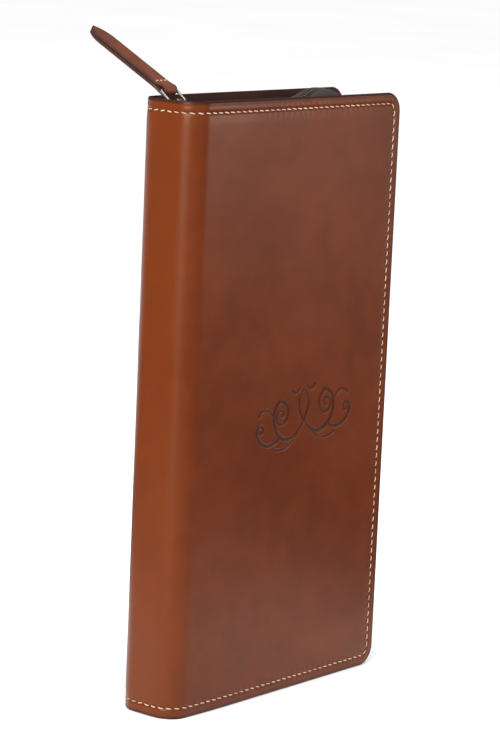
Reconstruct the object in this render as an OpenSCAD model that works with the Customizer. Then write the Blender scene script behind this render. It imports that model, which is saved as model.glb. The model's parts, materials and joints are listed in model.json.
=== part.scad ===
// Zip-around leather cover with the slim book that it carries.
// It stands closed on its bottom edge: X runs from the spine to the fore edge,
// Y from the front cover to the back cover, and Z up along the spine.
// The origin is at the foot of the spine, in the middle of the leather's thickness.

/* [Case] */
// Height of the closed case
case_h = 240; // [180:1:300]
// Width from the spine's outer face to the fore edge
case_w = 128; // [95:1:160]
// Thickness over both covers
case_t = 31; // [26:0.5:40]
// Outer radius of the leather where it turns from the spine into a cover
spine_r = 9; // [7:0.5:11]
// Radius of the covers' corners at the fore edge
corner_r = 8; // [4:0.5:16]

/* [Layers] */
// Thickness of the outer leather
leather_t = 1.8; // [1.2:0.1:2.4]
// Thickness of the stiffening boards
board_t = 1.2; // [0.8:0.1:1.8]
// Thickness of the lining
lining_t = 0.8; // [0.5:0.1:1]
// Distance from the covers' edges to the stiffening boards
board_inset = 7.5; // [7:0.5:12]
// Thickness of the pocket leather that holds the book's own covers
sleeve_t = 0.7; // [0.5:0.1:1]
// Width of each inner pocket, measured from the fore edge
sleeve_w = 62; // [40:1:80]

/* [Stitching] */
// Distance from the edge to the stitch line
stitch_inset = 4.4; // [3:0.1:5]
// Distance from one stitch to the next
stitch_pitch = 3.4; // [2.4:0.1:5]
// Length of the thread that shows in each stitch
stitch_l = 2.5; // [1.6:0.1:3.4]
// Width of the thread
stitch_w = 0.6; // [0.4:0.05:1]
// Thickness of the thread, which lies level with the leather in a groove
stitch_h = 0.3; // [0.2:0.05:0.5]

/* [Zip] */
// Distance from the covers' edges to the tape that closes the gap
zip_inset = 4.8; // [4:0.1:7]
// Thickness of the woven tape
tape_t = 0.7; // [0.5:0.1:1]
// Height of the coil across the tape
coil_h = 2; // [1.6:0.1:2.4]
// Width of one half of the coil
coil_w = 1.65; // [1.2:0.05:2.2]
// Gap between the two closed halves of the coil, where the slider's divider runs
coil_gap = 0.8; // [0.6:0.05:1]
// Length of the metal stops at the ends of the zip
stop_l = 3; // [2:0.5:5]

/* [Slider] */
// Length of the slider
slider_l = 10; // [8:0.5:14]
// Width of the slider
slider_w = 7.6; // [6:0.2:10]
// Thickness of the slider's two plates
slider_plate_t = 0.9; // [0.7:0.1:1.4]
// Clear height between the coil and each plate
slider_clear = 0.35; // [0.3:0.05:0.6]
// Width of the slider's nose
nose_w = 5.4; // [4:0.2:6]
// Length of the slider's wide tail
tail_l = 5.5; // [4:0.5:7]
// Length of the divider between the slider's plates
divider_l = 4; // [3:0.5:6]
// Height of the lug that carries the wire loop
lug_h = 2.9; // [2.6:0.1:4]
// Length of the lug along the zip
lug_l = 2.4; // [1.6:0.1:4]
// Width of the lug across the zip
lug_w = 2.8; // [2.4:0.1:4]

/* [Pull] */
// Diameter of the loop's wire
wire_d = 1.2; // [1:0.1:1.6]
// Width of the wire loop between its wire centres
loop_w = 9; // [8:0.2:12]
// Length of the wire loop between its wire centres
loop_l = 7; // [5:0.5:10]
// Bend radius of the loop's corners at the wire's centre
loop_bend_r = 1.5; // [1.2:0.1:2.4]
// Angle that the resting loop stands above the zip
loop_tilt = 38; // [30:1:60]
// Length of the leather pull tab
tab_l = 45; // [30:1:60]
// Width of the leather pull tab
tab_w = 8; // [6:0.2:10]
// Thickness of one of the tab's two layers
tab_layer_t = 1.3; // [1:0.1:1.8]
// Length of the tab's pointed tip
tip_l = 7.2; // [4:0.2:10]
// Radius at the end of the tab's tip
tip_r = 1.2; // [0.6:0.1:2]
// Number of stitches across the tab's neck
tab_stitches = 3; // [2:1:5]
// Angle that the resting tab stands above level
tab_tilt = 27; // [22:1:60]
// Radial clearance of the wire in its eye and in the tab's fold
hinge_clear = 0.08; // [0.05:0.01:0.1]

/* [Book] */
// Distance from the covers' edges to the pages at head and tail
page_inset = 12; // [9:0.5:20]
// Distance from the fore edge of the covers to the pages
page_fore_inset = 13; // [10:0.5:24]
// Corner radius of the pages
page_r = 6; // [2:0.5:12]
// Thickness of the book's own covers
book_cover_t = 1; // [0.6:0.1:1.6]
// Distance that the book's covers stand out past the pages
book_lip = 2.5; // [1:0.5:4]
// Thickness of the end leaves
end_leaf_t = 0.3; // [0.2:0.05:0.5]
// Depth of the glued back of the pages
binding_d = 4; // [3:0.5:6]
// Width of the ribbon markers
ribbon_w = 6; // [3:0.5:8]
// Thickness of the ribbon markers
ribbon_t = 0.2; // [0.15:0.05:0.25]
// Length of ribbon that hangs out below the pages
ribbon_tail = 8; // [4:0.5:9]
// Distance from the back of the leaves to the first ribbon
ribbon_x = 18; // [6:1:40]

/* [Clearances] */
// Gap between neighbours that only lie against each other
lay_gap = 0.1; // [0.05:0.05:0.2]
// Gap between parts that move past each other
move_gap = 0.4; // [0.3:0.05:0.6]
// Gap between the pages and the covers
page_gap = 0.8; // [0.6:0.1:1.5]
// Angle left free on each side of the corner's mitre
mitre_gap = 1.2; // [1:0.1:2]

/* [Hidden] */
$fn = 64;
// How far a cutter runs past the faces that it cuts
cut = 1;
// Smallest radius left at a corner that is set in from a rounded one
least_r = 1;
// Angle at which the spine's corner is split between the spine and a cover
mitre_a = 225;
// Page sections on each side of the open book, one node each
section_count = 3;
x_spine = -leather_t / 2;
x_fore = x_spine + case_w;
half_t = case_t / 2;
wall_t = leather_t + board_t + lining_t;
// Centre of the corner arc, on the front side
arc_x = x_spine + spine_r;
arc_y = -half_t + spine_r;
// Depth of the layers below the covers' outer faces
lining_d = leather_t + board_t;
lining_inset = zip_inset + tape_t + move_gap;
pocket_d = wall_t + book_cover_t + 2 * lay_gap;
inner_d = pocket_d + sleeve_t;
page_half_t = half_t - inner_d - page_gap;
// Pages
page_z0 = page_inset;
page_z1 = case_h - page_inset;
page_x1 = x_fore - page_fore_inset;
page_corner_d = max(spine_r - inner_d - page_gap, 0);
book_spine_x = arc_x - sqrt(pow(spine_r - wall_t - move_gap, 2) - pow(page_corner_d, 2));
binding_x = book_spine_x + book_cover_t;
page_x0 = binding_x + binding_d + move_gap;
leaf_gap = 2 * (ribbon_t + lay_gap);
band_r = book_lip / 2 - lay_gap;
section_t = (page_half_t - end_leaf_t - leaf_gap / 2) / section_count;
// Zip: depth of the tape and the coil below the case's edge, and the slider's heights
zip_depth = zip_inset + tape_t / 2;
zip_z = case_h - zip_depth;
coil_y = coil_w + coil_gap / 2;
plate_z = coil_h / 2 + slider_clear;
zip_x = arc_x;
// The wire loop's near leg clears the spine's leather
lug_x = x_spine + leather_t + move_gap + (wire_d + loop_w) / 2;
slider_x = lug_x - lug_l / 2;
lug_z = zip_z + plate_z + slider_plate_t;
eye_z = lug_z + lug_h / 2;
// Pull: far bar of the wire loop, which the tab is folded round
fold_r = wire_d / 2 + hinge_clear + tab_layer_t;
far_y = loop_l * cos(loop_tilt);
far_z = eye_z + loop_l * sin(loop_tilt);
neck_w = min(tab_w, loop_w - wire_d - 2 * move_gap);

// ---- Shared shapes ----

// Rectangle in the XZ plane from x0 to x1 with both corners at x1 rounded
module fore_rounded(x0, x1, z0, z1, r) {
    translate([x0, z0]) square([x1 - r - x0, z1 - z0]);
    translate([x0, z0 + r]) square([x1 - x0, z1 - z0 - 2 * r]);
    for (z = [z0 + r, z1 - r])
        translate([x1 - r, z]) circle(r);
}

// Raises an XZ outline into a plate whose faces are at y0 and y1
module plate(y0, y1) {
    translate([0, y1, 0]) rotate([90, 0, 0]) linear_extrude(y1 - y0) children();
}

// One layer of a cover, from depth d below its outer face, with the edges set in
module cover_layer(d, t, inset, x0, r) {
    plate(-half_t + d, -half_t + d + t)
        fore_rounded(x0, x_fore - inset, inset, case_h - inset, r);
}

// Stretch of the rounded corner, from depth d, between two angles
module corner_arc(d, t, inset, from, to) {
    translate([arc_x, arc_y, inset])
        rotate_extrude(angle = to - from, start = from)
            translate([spine_r - d - t, 0]) square([t, case_h - 2 * inset]);
}

// Half of the corner that moves with the front cover
module cover_corner(d, t, inset) {
    corner_arc(d, t, inset, mitre_a + mitre_gap, 270);
}

// Half of the corner that stays with the spine, on both sides
module spine_corners(d, t, inset) {
    for (side = [0, 1])
        mirror([0, side, 0]) corner_arc(d, t, inset, 180, mitre_a - mitre_gap);
}

// The back half of the case is the mirror image of the front half
module at_back() {
    mirror([0, 1, 0]) children();
}

// Radius of a corner that lies a given distance in from the covers' rounded corners
function inset_r(inset) = max(corner_r - inset, least_r);

// U-shaped band in the XZ plane, open towards the spine
module edge_band(inset, t, x0) {
    far = inset + t;
    difference() {
        fore_rounded(x0, x_fore - inset, inset, case_h - inset, inset_r(inset));
        fore_rounded(x0 - cut, x_fore - far, far, case_h - far, inset_r(far));
    }
}

// ---- Stitch line: a run along the foot, up the fore edge and back along the top ----

seam_r = inset_r(stitch_inset);
seam_run = x_fore - stitch_inset - seam_r - arc_x;
seam_arc = seam_r * PI / 2;
seam_rise = case_h - 2 * stitch_inset - 2 * seam_r;
seam_len = 2 * seam_run + 2 * seam_arc + seam_rise;
seam_count = floor(seam_len / stitch_pitch);
seam_step = seam_len / seam_count;
// A straight stitch swings out of the seam's line by this much on the corner arc
seam_swing = stitch_l * stitch_l / (8 * seam_r);
// Width of the groove, rounded up to a tenth of a millimetre
groove_w = ceil(10 * (stitch_w + 2 * (seam_swing + lay_gap))) / 10;
// Stitches along each half of the spine's corner, and the angle that each one has
half_corner_a = mitre_a - 180;
corner_stitches = max(1, floor(spine_r * half_corner_a * PI / 180 / stitch_pitch));
corner_step = half_corner_a / corner_stitches;
corner_stitch_a = stitch_l / spine_r * 180 / PI;

// Place along the seam as [x, z, angle]
function seam_at(s) =
    s < seam_run ? [arc_x + s, stitch_inset, 0] :
    s < seam_run + seam_arc ? seam_turn(s - seam_run, stitch_inset + seam_r, -90) :
    s < seam_run + seam_arc + seam_rise ?
        [x_fore - stitch_inset, stitch_inset + seam_r + s - seam_run - seam_arc, 90] :
    s < seam_run + 2 * seam_arc + seam_rise ?
        seam_turn(s - seam_run - seam_arc - seam_rise, case_h - stitch_inset - seam_r, 0) :
    [arc_x + seam_len - s, case_h - stitch_inset, 180];

// Place on one of the seam's corner arcs, a distance s past the angle where it starts
function seam_turn(s, z, from) =
    let (a = from + s / seam_r * 180 / PI)
    [x_fore - stitch_inset - seam_r + seam_r * cos(a), z + seam_r * sin(a), a + 90];

// Row of threads on the front cover's outer face
module cover_stitches() {
    for (i = [0 : seam_count - 1]) {
        p = seam_at((i + 0.5) * seam_step);
        translate([p[0], -half_t, p[1]]) rotate([0, -p[2], 0])
            translate([-stitch_l / 2, 0, -stitch_w / 2])
                cube([stitch_l, stitch_h, stitch_w]);
    }
    arc_stitches(mitre_a);
}

// The seam's top and bottom rows along half of the spine's front corner, from an angle on
module arc_stitches(from) {
    for (z = [stitch_inset, case_h - stitch_inset], i = [0 : corner_stitches - 1])
        translate([arc_x, arc_y, z - stitch_w / 2])
            rotate_extrude(
                angle = corner_stitch_a,
                start = from + (i + 0.5) * corner_step - corner_stitch_a / 2
            ) translate([spine_r - stitch_h, 0]) square([stitch_h, stitch_w]);
}

// The groove for those rows
module arc_groove(from) {
    for (z = [stitch_inset, case_h - stitch_inset])
        translate([arc_x, arc_y, z - groove_w / 2])
            rotate_extrude(angle = half_corner_a, start = from)
                translate([spine_r - stitch_h, 0]) square([stitch_h + cut, groove_w]);
}

// ---- Spine ----

module spine_leather() {
    color("#8a3f20") difference() {
        union() {
            translate([x_spine, arc_y, 0]) cube([leather_t, -2 * arc_y, case_h]);
            spine_corners(0, leather_t, 0);
        }
        for (z = [stitch_inset, case_h - stitch_inset])
            translate([x_spine - cut, arc_y, z - groove_w / 2])
                cube([cut + stitch_h, -2 * arc_y, groove_w]);
        for (side = [0, 1]) mirror([0, side, 0]) arc_groove(180);
    }
}

module spine_board() {
    color("#9a8f7c") translate([x_spine + leather_t, arc_y, board_inset])
        cube([board_t, -2 * arc_y, case_h - 2 * board_inset]);
}

module spine_lining() {
    color("#4a2a1c") {
        translate([x_spine + lining_d, arc_y, lining_inset])
            cube([lining_t, -2 * arc_y, case_h - 2 * lining_inset]);
        spine_corners(lining_d, lining_t, lining_inset);
    }
}

// The seam's top and bottom rows run on round the spine
module spine_stitching() {
    flat_count = max(1, floor(-2 * arc_y / stitch_pitch));
    flat_step = -2 * arc_y / flat_count;
    color("#d9c9a8") {
        for (z = [stitch_inset, case_h - stitch_inset], i = [0 : flat_count - 1])
            translate([x_spine, arc_y + (i + 0.5) * flat_step - stitch_l / 2, z - stitch_w / 2])
                cube([stitch_h, stitch_l, stitch_w]);
        for (side = [0, 1]) mirror([0, side, 0]) arc_stitches(180);
    }
}

// ---- Front cover, mirrored for the back cover ----

module cover_leather() {
    difference() {
        cover_layer(0, leather_t, 0, arc_x, corner_r);
        plate(-half_t - cut, -half_t + stitch_h)
            edge_band(stitch_inset - groove_w / 2, groove_w, arc_x - cut);
    }
    difference() {
        cover_corner(0, leather_t, 0);
        arc_groove(mitre_a);
    }
}

module cover_board() {
    cover_layer(leather_t, board_t, board_inset, arc_x, inset_r(board_inset));
}

module cover_lining() {
    cover_layer(lining_d, lining_t, lining_inset, arc_x, inset_r(lining_inset));
    cover_corner(lining_d, lining_t, lining_inset);
}

// Pocket: a flap over the book's own cover, closed on three sides down to the lining
module cover_sleeve() {
    x0 = x_fore - sleeve_w;
    plate(-half_t + pocket_d, -half_t + inner_d)
        fore_rounded(x0, x_fore - lining_inset, lining_inset, case_h - lining_inset, inset_r(lining_inset));
    plate(-half_t + wall_t, -half_t + pocket_d) edge_band(lining_inset, sleeve_t, x0);
}

// Tape: its outer edge is sewn in behind the leather and the rest bridges half the gap
module zip_tape() {
    flange_inset = stitch_inset - 2 * stitch_w;
    plate(-half_t + leather_t, -half_t + leather_t + tape_t)
        edge_band(flange_inset, zip_inset + tape_t - flange_inset, zip_x);
    plate(-half_t + leather_t, -coil_y) edge_band(zip_inset, tape_t, zip_x);
}

module zip_coil() {
    plate(-coil_y, -coil_gap / 2)
        edge_band(zip_depth - coil_h / 2, coil_h, zip_x + stop_l);
}

// Crimped stops where the coil begins, at the top and at the foot of the spine
module zip_stops() {
    for (z = [zip_depth, case_h - zip_depth])
        translate([zip_x, -coil_y, z - coil_h / 2])
            cube([stop_l, coil_w, coil_h]);
}

module book_cover() {
    lip_inset = page_inset - book_lip;
    x0 = page_x0 + move_gap;
    plate(-half_t + wall_t + lay_gap, -half_t + wall_t + lay_gap + book_cover_t)
        fore_rounded(x0, page_x1 + book_lip, lip_inset, case_h - lip_inset, page_r);
}

module front_leather() { color("#8a3f20") cover_leather(); }
module front_board() { color("#9a8f7c") cover_board(); }
module front_lining() { color("#4a2a1c") cover_lining(); }
module front_sleeve() { color("#6b3220") cover_sleeve(); }
module front_stitching() { color("#d9c9a8") cover_stitches(); }
module front_zip_tape() { color("#2c1a14") zip_tape(); }
module front_zip_coil() { color("#1d1210") zip_coil(); }
module front_zip_stops() { color("#b8b8b4") zip_stops(); }
module book_front_cover() { color("#201814") book_cover(); }

module back_leather() { color("#8a3f20") at_back() cover_leather(); }
module back_board() { color("#9a8f7c") at_back() cover_board(); }
module back_lining() { color("#4a2a1c") at_back() cover_lining(); }
module back_sleeve() { color("#6b3220") at_back() cover_sleeve(); }
module back_stitching() { color("#d9c9a8") at_back() cover_stitches(); }
module back_zip_tape() { color("#2c1a14") at_back() zip_tape(); }
module back_zip_coil() { color("#1d1210") at_back() zip_coil(); }
module back_zip_stops() { color("#b8b8b4") at_back() zip_stops(); }
module book_back_cover() { color("#201814") at_back() book_cover(); }

// ---- Book ----

module book_spine() {
    lip_inset = page_inset - book_lip;
    color("#201814") translate([book_spine_x, -page_half_t, lip_inset])
        cube([book_cover_t, 2 * page_half_t, case_h - 2 * lip_inset]);
}

module page_binding() {
    color("#e8dfca") translate([binding_x, -page_half_t, page_z0])
        cube([binding_d, 2 * page_half_t, page_z1 - page_z0]);
}

// Sewn band across the end of the pages' back
module end_band(z) {
    color("#8c1f22") translate([binding_x + book_lip / 2, 0, z])
        rotate([90, 0, 0]) cylinder(h = 2 * page_half_t, r = band_r, center = true);
}

module headband() { end_band(page_z1 + band_r); }
module tailband() { end_band(page_z0 - band_r); }

// Leaves of the front half between two depths below its outer face
module leaves(d0, d1) {
    plate(-page_half_t + d0, -page_half_t + d1)
        fore_rounded(page_x0, page_x1, page_z0, page_z1, page_r);
}

// One page section of the front half, counted from the cover
module section(i) {
    leaves(end_leaf_t + i * section_t, end_leaf_t + (i + 1) * section_t);
}

module front_end_leaf() { color("#d8c6a0") leaves(0, end_leaf_t); }
module front_section_outer() { color("#f0e8d6") section(0); }
module front_section_middle() { color("#ece3cf") section(1); }
module front_section_inner() { color("#f0e8d6") section(2); }
module back_end_leaf() { color("#d8c6a0") at_back() leaves(0, end_leaf_t); }
module back_section_outer() { color("#f0e8d6") at_back() section(0); }
module back_section_middle() { color("#ece3cf") at_back() section(1); }
module back_section_inner() { color("#f0e8d6") at_back() section(2); }

// Ribbon laid down the opening, a distance x from the binding, ending below the pages
module ribbon(x, tail) {
    plate(leaf_gap / 2 - ribbon_t, leaf_gap / 2)
        translate([page_x0 + x, page_z0 - tail]) square([ribbon_w, page_z1 - page_z0 + tail]);
}

module ribbon_marker_long() { color("#7a1a20") ribbon(ribbon_x, ribbon_tail); }
module ribbon_marker_short() { color("#b08a3a") ribbon(ribbon_x + 2 * ribbon_w, ribbon_tail / 2); }

// ---- Slider and pull ----

// Outline of the slider's plates: a blunt nose towards the spine and a wide tail
module slider_outline() {
    nose_r = nose_w / 2;
    translate([slider_x + nose_r, 0]) circle(nose_r);
    translate([slider_x + nose_r, -nose_w / 2]) square([slider_l - nose_r, nose_w]);
    translate([slider_x + slider_l - tail_l, -slider_w / 2]) square([tail_l, slider_w]);
}

module slider_body() {
    divider_w = coil_gap - 3 * lay_gap;
    color("#c4c4c0") {
        for (z = [zip_z + plate_z, zip_z - plate_z - slider_plate_t])
            translate([0, 0, z]) linear_extrude(slider_plate_t) slider_outline();
        translate([slider_x, -divider_w / 2, zip_z - plate_z])
            cube([divider_l, divider_w, 2 * plate_z]);
    }
}

// Lug on the slider with the eye that the wire loop turns in
module slider_lug() {
    eye_r = wire_d / 2 + hinge_clear;
    color("#c4c4c0") difference() {
        union() {
            translate([slider_x, -lug_w / 2, lug_z]) cube([lug_l, lug_w, lug_h / 2]);
            translate([slider_x, 0, eye_z]) rotate([0, 90, 0]) cylinder(h = lug_l, r = lug_w / 2);
        }
        translate([slider_x - cut, 0, eye_z]) rotate([0, 90, 0])
            cylinder(h = lug_l + 2 * cut, r = eye_r);
    }
}

// Puts a shape drawn flat, with +Y away from its hinge, at a bar and at an angle
module hinged(y, z, tilt) {
    translate([lug_x, y, z]) rotate([tilt, 0, 0]) children();
}

module pull_loop() {
    color("#c9c9c6") hinged(0, eye_z, loop_tilt) {
        for (y = [0, loop_l])
            translate([0, y, 0]) rotate([0, 90, 0])
                cylinder(h = loop_w - 2 * loop_bend_r, d = wire_d, center = true);
        for (x = [-loop_w / 2, loop_w / 2])
            translate([x, loop_bend_r, 0]) rotate([-90, 0, 0])
                cylinder(h = loop_l - 2 * loop_bend_r, d = wire_d);
        for (sx = [0, 1], sy = [0, 1])
            translate([0, loop_l / 2, 0]) mirror([sx, 0, 0]) mirror([0, sy, 0])
                translate([loop_w / 2 - loop_bend_r, loop_l / 2 - loop_bend_r, 0])
                    rotate_extrude(angle = 90) translate([loop_bend_r, 0]) circle(d = wire_d);
    }
}

// Strap folded round the loop's far bar, its two layers lying together up to the tip
module pull_tab() {
    neck_l = 2 * fold_r;
    color("#7d3a20") hinged(far_y, far_z, tab_tilt) {
        difference() {
            union() {
                rotate([0, 90, 0]) cylinder(h = neck_w, r = fold_r, center = true);
                translate([-neck_w / 2, 0, -tab_layer_t]) cube([neck_w, neck_l, 2 * tab_layer_t]);
            }
            rotate([0, 90, 0])
                cylinder(h = neck_w + 2 * cut, r = wire_d / 2 + hinge_clear, center = true);
        }
        translate([0, 0, -tab_layer_t]) linear_extrude(2 * tab_layer_t) tab_outline(neck_l - cut);
    }
}

// Flat outline of the strap from y0 on, with a pointed tip rounded at its end
module tab_outline(y0) {
    polygon([
        [-tab_w / 2, y0], [tab_w / 2, y0],
        [tab_w / 2, tab_l - tip_l], [tip_r, tab_l - tip_r],
        [-tip_r, tab_l - tip_r], [-tab_w / 2, tab_l - tip_l]
    ]);
    translate([0, tab_l - tip_r]) circle(tip_r);
}

// Row of thread across the strap that holds its two layers together behind the loop
module pull_tab_stitching() {
    step = (neck_w - stitch_w) / tab_stitches;
    color("#d9c9a8") hinged(far_y, far_z, tab_tilt)
        for (i = [0 : tab_stitches - 1], side = [-1, 1])
            translate([(i - (tab_stitches - 1) / 2) * step, 2 * fold_r, side * (tab_layer_t + stitch_h / 2)])
                cube([step - stitch_w, stitch_w, stitch_h], center = true);
}

spine_leather();
spine_board();
spine_lining();
spine_stitching();
book_spine();
page_binding();
headband();
tailband();
front_leather();
front_board();
front_lining();
front_sleeve();
front_stitching();
front_zip_tape();
front_zip_coil();
front_zip_stops();
book_front_cover();
back_leather();
back_board();
back_lining();
back_sleeve();
back_stitching();
back_zip_tape();
back_zip_coil();
back_zip_stops();
book_back_cover();
front_end_leaf();
front_section_outer();
front_section_middle();
front_section_inner();
back_end_leaf();
back_section_outer();
back_section_middle();
back_section_inner();
ribbon_marker_long();
ribbon_marker_short();
slider_body();
slider_lug();
pull_loop();
pull_tab();
pull_tab_stitching();
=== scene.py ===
"""A slim devotional book in its zip-around leather case, standing closed on its foot.

Lengths are in metres in the part's own frame: X from the spine to the fore edge, Y from the
front cover to the back cover, Z up. Each piece is built in place, and most of them ride on their CAD
body.
"""
import json
import math
import random

import bmesh
import bpy
import numpy as np
from mathutils import Matrix, Vector


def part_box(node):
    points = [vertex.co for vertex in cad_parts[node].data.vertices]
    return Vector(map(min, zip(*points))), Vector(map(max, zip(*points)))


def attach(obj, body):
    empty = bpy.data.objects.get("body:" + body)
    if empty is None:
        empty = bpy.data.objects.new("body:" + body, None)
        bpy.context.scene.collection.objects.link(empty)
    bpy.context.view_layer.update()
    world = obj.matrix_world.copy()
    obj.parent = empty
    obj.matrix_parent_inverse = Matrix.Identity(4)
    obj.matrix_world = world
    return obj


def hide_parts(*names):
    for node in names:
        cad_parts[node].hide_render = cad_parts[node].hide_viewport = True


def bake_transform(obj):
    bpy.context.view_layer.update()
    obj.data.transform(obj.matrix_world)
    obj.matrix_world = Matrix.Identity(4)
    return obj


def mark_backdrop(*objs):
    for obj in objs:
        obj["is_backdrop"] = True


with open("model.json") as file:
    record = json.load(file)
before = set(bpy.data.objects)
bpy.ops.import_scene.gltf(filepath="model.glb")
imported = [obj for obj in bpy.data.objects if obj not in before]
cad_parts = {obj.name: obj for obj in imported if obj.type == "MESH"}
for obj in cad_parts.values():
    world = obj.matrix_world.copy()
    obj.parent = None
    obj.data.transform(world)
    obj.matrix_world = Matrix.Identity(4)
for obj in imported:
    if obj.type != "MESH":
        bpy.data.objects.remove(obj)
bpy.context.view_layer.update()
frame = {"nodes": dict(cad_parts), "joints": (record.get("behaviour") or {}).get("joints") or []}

# ---- Sizes, read from the frame or in step with it ----

MM = 0.001
JOINT = {j["name"]: Vector(j["pos_m"]) for j in frame["joints"] if "pos_m" in j}
X_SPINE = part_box("spine_leather")[0].x
X_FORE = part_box("front_leather")[1].x
CASE_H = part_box("front_leather")[1].z
HALF_T = -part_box("front_leather")[0].y
LEATHER_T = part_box("spine_board")[0].x - X_SPINE
SPINE_R = (JOINT["front_cover_hinge"].x - X_SPINE) / (1 - math.pi / 4)
ARC_X = X_SPINE + SPINE_R
ARC_Y = -HALF_T + SPINE_R
CORNER_R = 8 * MM
# Length of the leather round the case, from the middle of the spine to the fore edge
SPINE_HALF = -ARC_Y
ARC_L = SPINE_R * math.pi / 2
WRAP = SPINE_HALF + ARC_L + X_FORE - ARC_X

STITCH_INSET = 4.4 * MM
STITCH_PITCH = 3.4 * MM
LINING_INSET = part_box("front_lining")[0].z
LINING_DEPTH = HALF_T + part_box("front_lining")[0].y
LINING_T = 0.8 * MM
ZIP_INSET = CASE_H - (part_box("slider_body")[0].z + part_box("slider_body")[1].z) / 2
TAPE_T = 0.7 * MM

FRONT, BACK = -1, 1
SIDES = {"front": FRONT, "back": BACK}


# ---- Meshes ----

def shown(name, data):
    """An object at the origin for a mesh, a curve, a light or a camera."""
    piece = bpy.data.objects.new(name, data)
    bpy.context.scene.collection.objects.link(piece)
    return piece


def smooth(x):
    """0 to 1 with level ends."""
    x = np.clip(x, 0, 1)
    return x * x * (3 - 2 * x)


def stations(length, step_at):
    """Places from 0 to length whose spacing follows step_at(place)."""
    places = [0.0]
    while places[-1] < length:
        places.append(places[-1] + step_at(places[-1]))
    return np.array(places) * (length / places[-1])


def make_piece(name, points, faces, material, uv=None, marks=None, crease=40):
    """A mesh object at the origin. uv holds a place for each vertex, and marks named numbers."""
    mesh = bpy.data.meshes.new(name)
    mesh.from_pydata(np.asarray(points, float).tolist(), [], faces)
    if uv is not None:
        corner = np.zeros(len(mesh.loops), np.int32)
        mesh.loops.foreach_get("vertex_index", corner)
        layer = mesh.uv_layers.new(name="UVMap")
        layer.data.foreach_set("uv", np.asarray(uv, np.float32)[corner].ravel())
    for mark, values in (marks or {}).items():
        attribute = mesh.attributes.new(mark, "FLOAT", "POINT")
        attribute.data.foreach_set("value", np.asarray(values, np.float32))
    mesh.materials.append(material)
    return finish_mesh(shown(name, mesh), crease)


def finish_mesh(piece, crease=40, fix=True):
    """Faces outwards, shading smooth up to the crease angle in degrees."""
    mesh = piece.data
    if fix:
        shell = bmesh.new()
        shell.from_mesh(mesh)
        bmesh.ops.recalc_face_normals(shell, faces=shell.faces)
        shell.to_mesh(mesh)
        shell.free()
    mesh.polygons.foreach_set("use_smooth", np.ones(len(mesh.polygons), bool))
    mesh.set_sharp_from_angle(angle=math.radians(crease))
    mesh.update()
    return piece


def place(piece, matrix):
    """Moves a piece's mesh, so that its object stays at the origin."""
    piece.data.transform(matrix)
    piece.data.update()
    return piece


def quads(rows, cols, wrap_rows=False, wrap_cols=False):
    """Faces of a grid of rows by cols vertices that are numbered row by row."""
    r = np.arange(rows if wrap_rows else rows - 1)
    c = np.arange(cols if wrap_cols else cols - 1)
    r, c = (a.ravel() for a in np.meshgrid(r, c, indexing="ij"))
    r1, c1 = (r + 1) % rows, (c + 1) % cols
    return np.stack([r * cols + c, r1 * cols + c, r1 * cols + c1, r * cols + c1], 1).tolist()


def loft(rings, closed_path=False):
    """Points and faces of a skin over rings of points, all of one length, capped at open ends."""
    rings = np.asarray(rings, float)
    count, around = rings.shape[:2]
    faces = quads(count, around, closed_path, True)
    if not closed_path:
        faces.append(list(range(around))[::-1])
        faces.append([(count - 1) * around + k for k in range(around)])
    return rings.reshape(-1, 3), faces


def square_to(line):
    """Unit direction to the left of a flat line at each of its points."""
    tangent = np.gradient(line, axis=0)
    tangent /= np.linalg.norm(tangent, axis=1)[:, None]
    return np.stack([-tangent[:, 1], tangent[:, 0]], 1)


def walked(line):
    """Length along a line up to each of its points."""
    return np.concatenate([[0], np.cumsum(np.linalg.norm(np.diff(line, axis=0), axis=1))])


def close_across(ring, strips):
    """Faces over a ring whose two long runs face each other: strips, then one end face."""
    ring = [int(v) for v in ring]
    faces = [[ring[k], ring[k + 1], ring[-2 - k], ring[-1 - k]] for k in range(strips)]
    return faces + [ring[strips:len(ring) - strips]]


def turned_frames(path, closed=False, up=(0, 0, 1)):
    """Side and over directions at each point of a path that stays clear of the up direction."""
    path = np.asarray(path, float)
    if closed:
        ahead, behind = np.roll(path, -1, 0), np.roll(path, 1, 0)
    else:
        ahead = np.vstack([path[1:], path[-1:]])
        behind = np.vstack([path[:1], path[:-1]])
    tangent = ahead - behind
    tangent /= np.linalg.norm(tangent, axis=1)[:, None]
    side = np.cross(np.broadcast_to(np.array(up, float), tangent.shape), tangent)
    side /= np.linalg.norm(side, axis=1)[:, None]
    return side, np.cross(tangent, side)


def round_bar(path, radius, sides=12, closed=False, up=(0, 0, 1)):
    """Wire of a round section along a path."""
    side, over = turned_frames(path, closed, up)
    a = np.arange(sides) * 2 * math.pi / sides
    ring = np.cos(a)[None, :, None] * side[:, None] + np.sin(a)[None, :, None] * over[:, None]
    return loft(np.asarray(path)[:, None] + radius * ring, closed)


def pressed_shape(name, outline, holes, thickness, bevel, material):
    """Flat shape in XY with rounded edges, from its outline and holes, centred on z = 0."""
    curve = bpy.data.curves.new(name, "CURVE")
    curve.dimensions = "2D"
    curve.fill_mode = "BOTH"
    curve.extrude = thickness / 2 - bevel
    curve.bevel_depth = bevel
    curve.bevel_resolution = 2
    curve.offset = -bevel
    for loop in [outline, *holes]:
        spline = curve.splines.new("POLY")
        spline.points.add(len(loop) - 1)
        for point, (x, y) in zip(spline.points, loop):
            point.co = (x, y, 0, 1)
        spline.use_cyclic_u = True
    flat = shown(name + "_outline", curve)
    mesh = bpy.data.meshes.new_from_object(flat)
    bpy.data.objects.remove(flat)
    shell = bmesh.new()
    shell.from_mesh(mesh)
    bmesh.ops.remove_doubles(shell, verts=shell.verts, dist=0.002 * MM)
    shell.to_mesh(mesh)
    shell.free()
    mesh.name = name
    mesh.materials.clear()
    mesh.materials.append(material)
    return finish_mesh(shown(name, mesh), 30)


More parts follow.
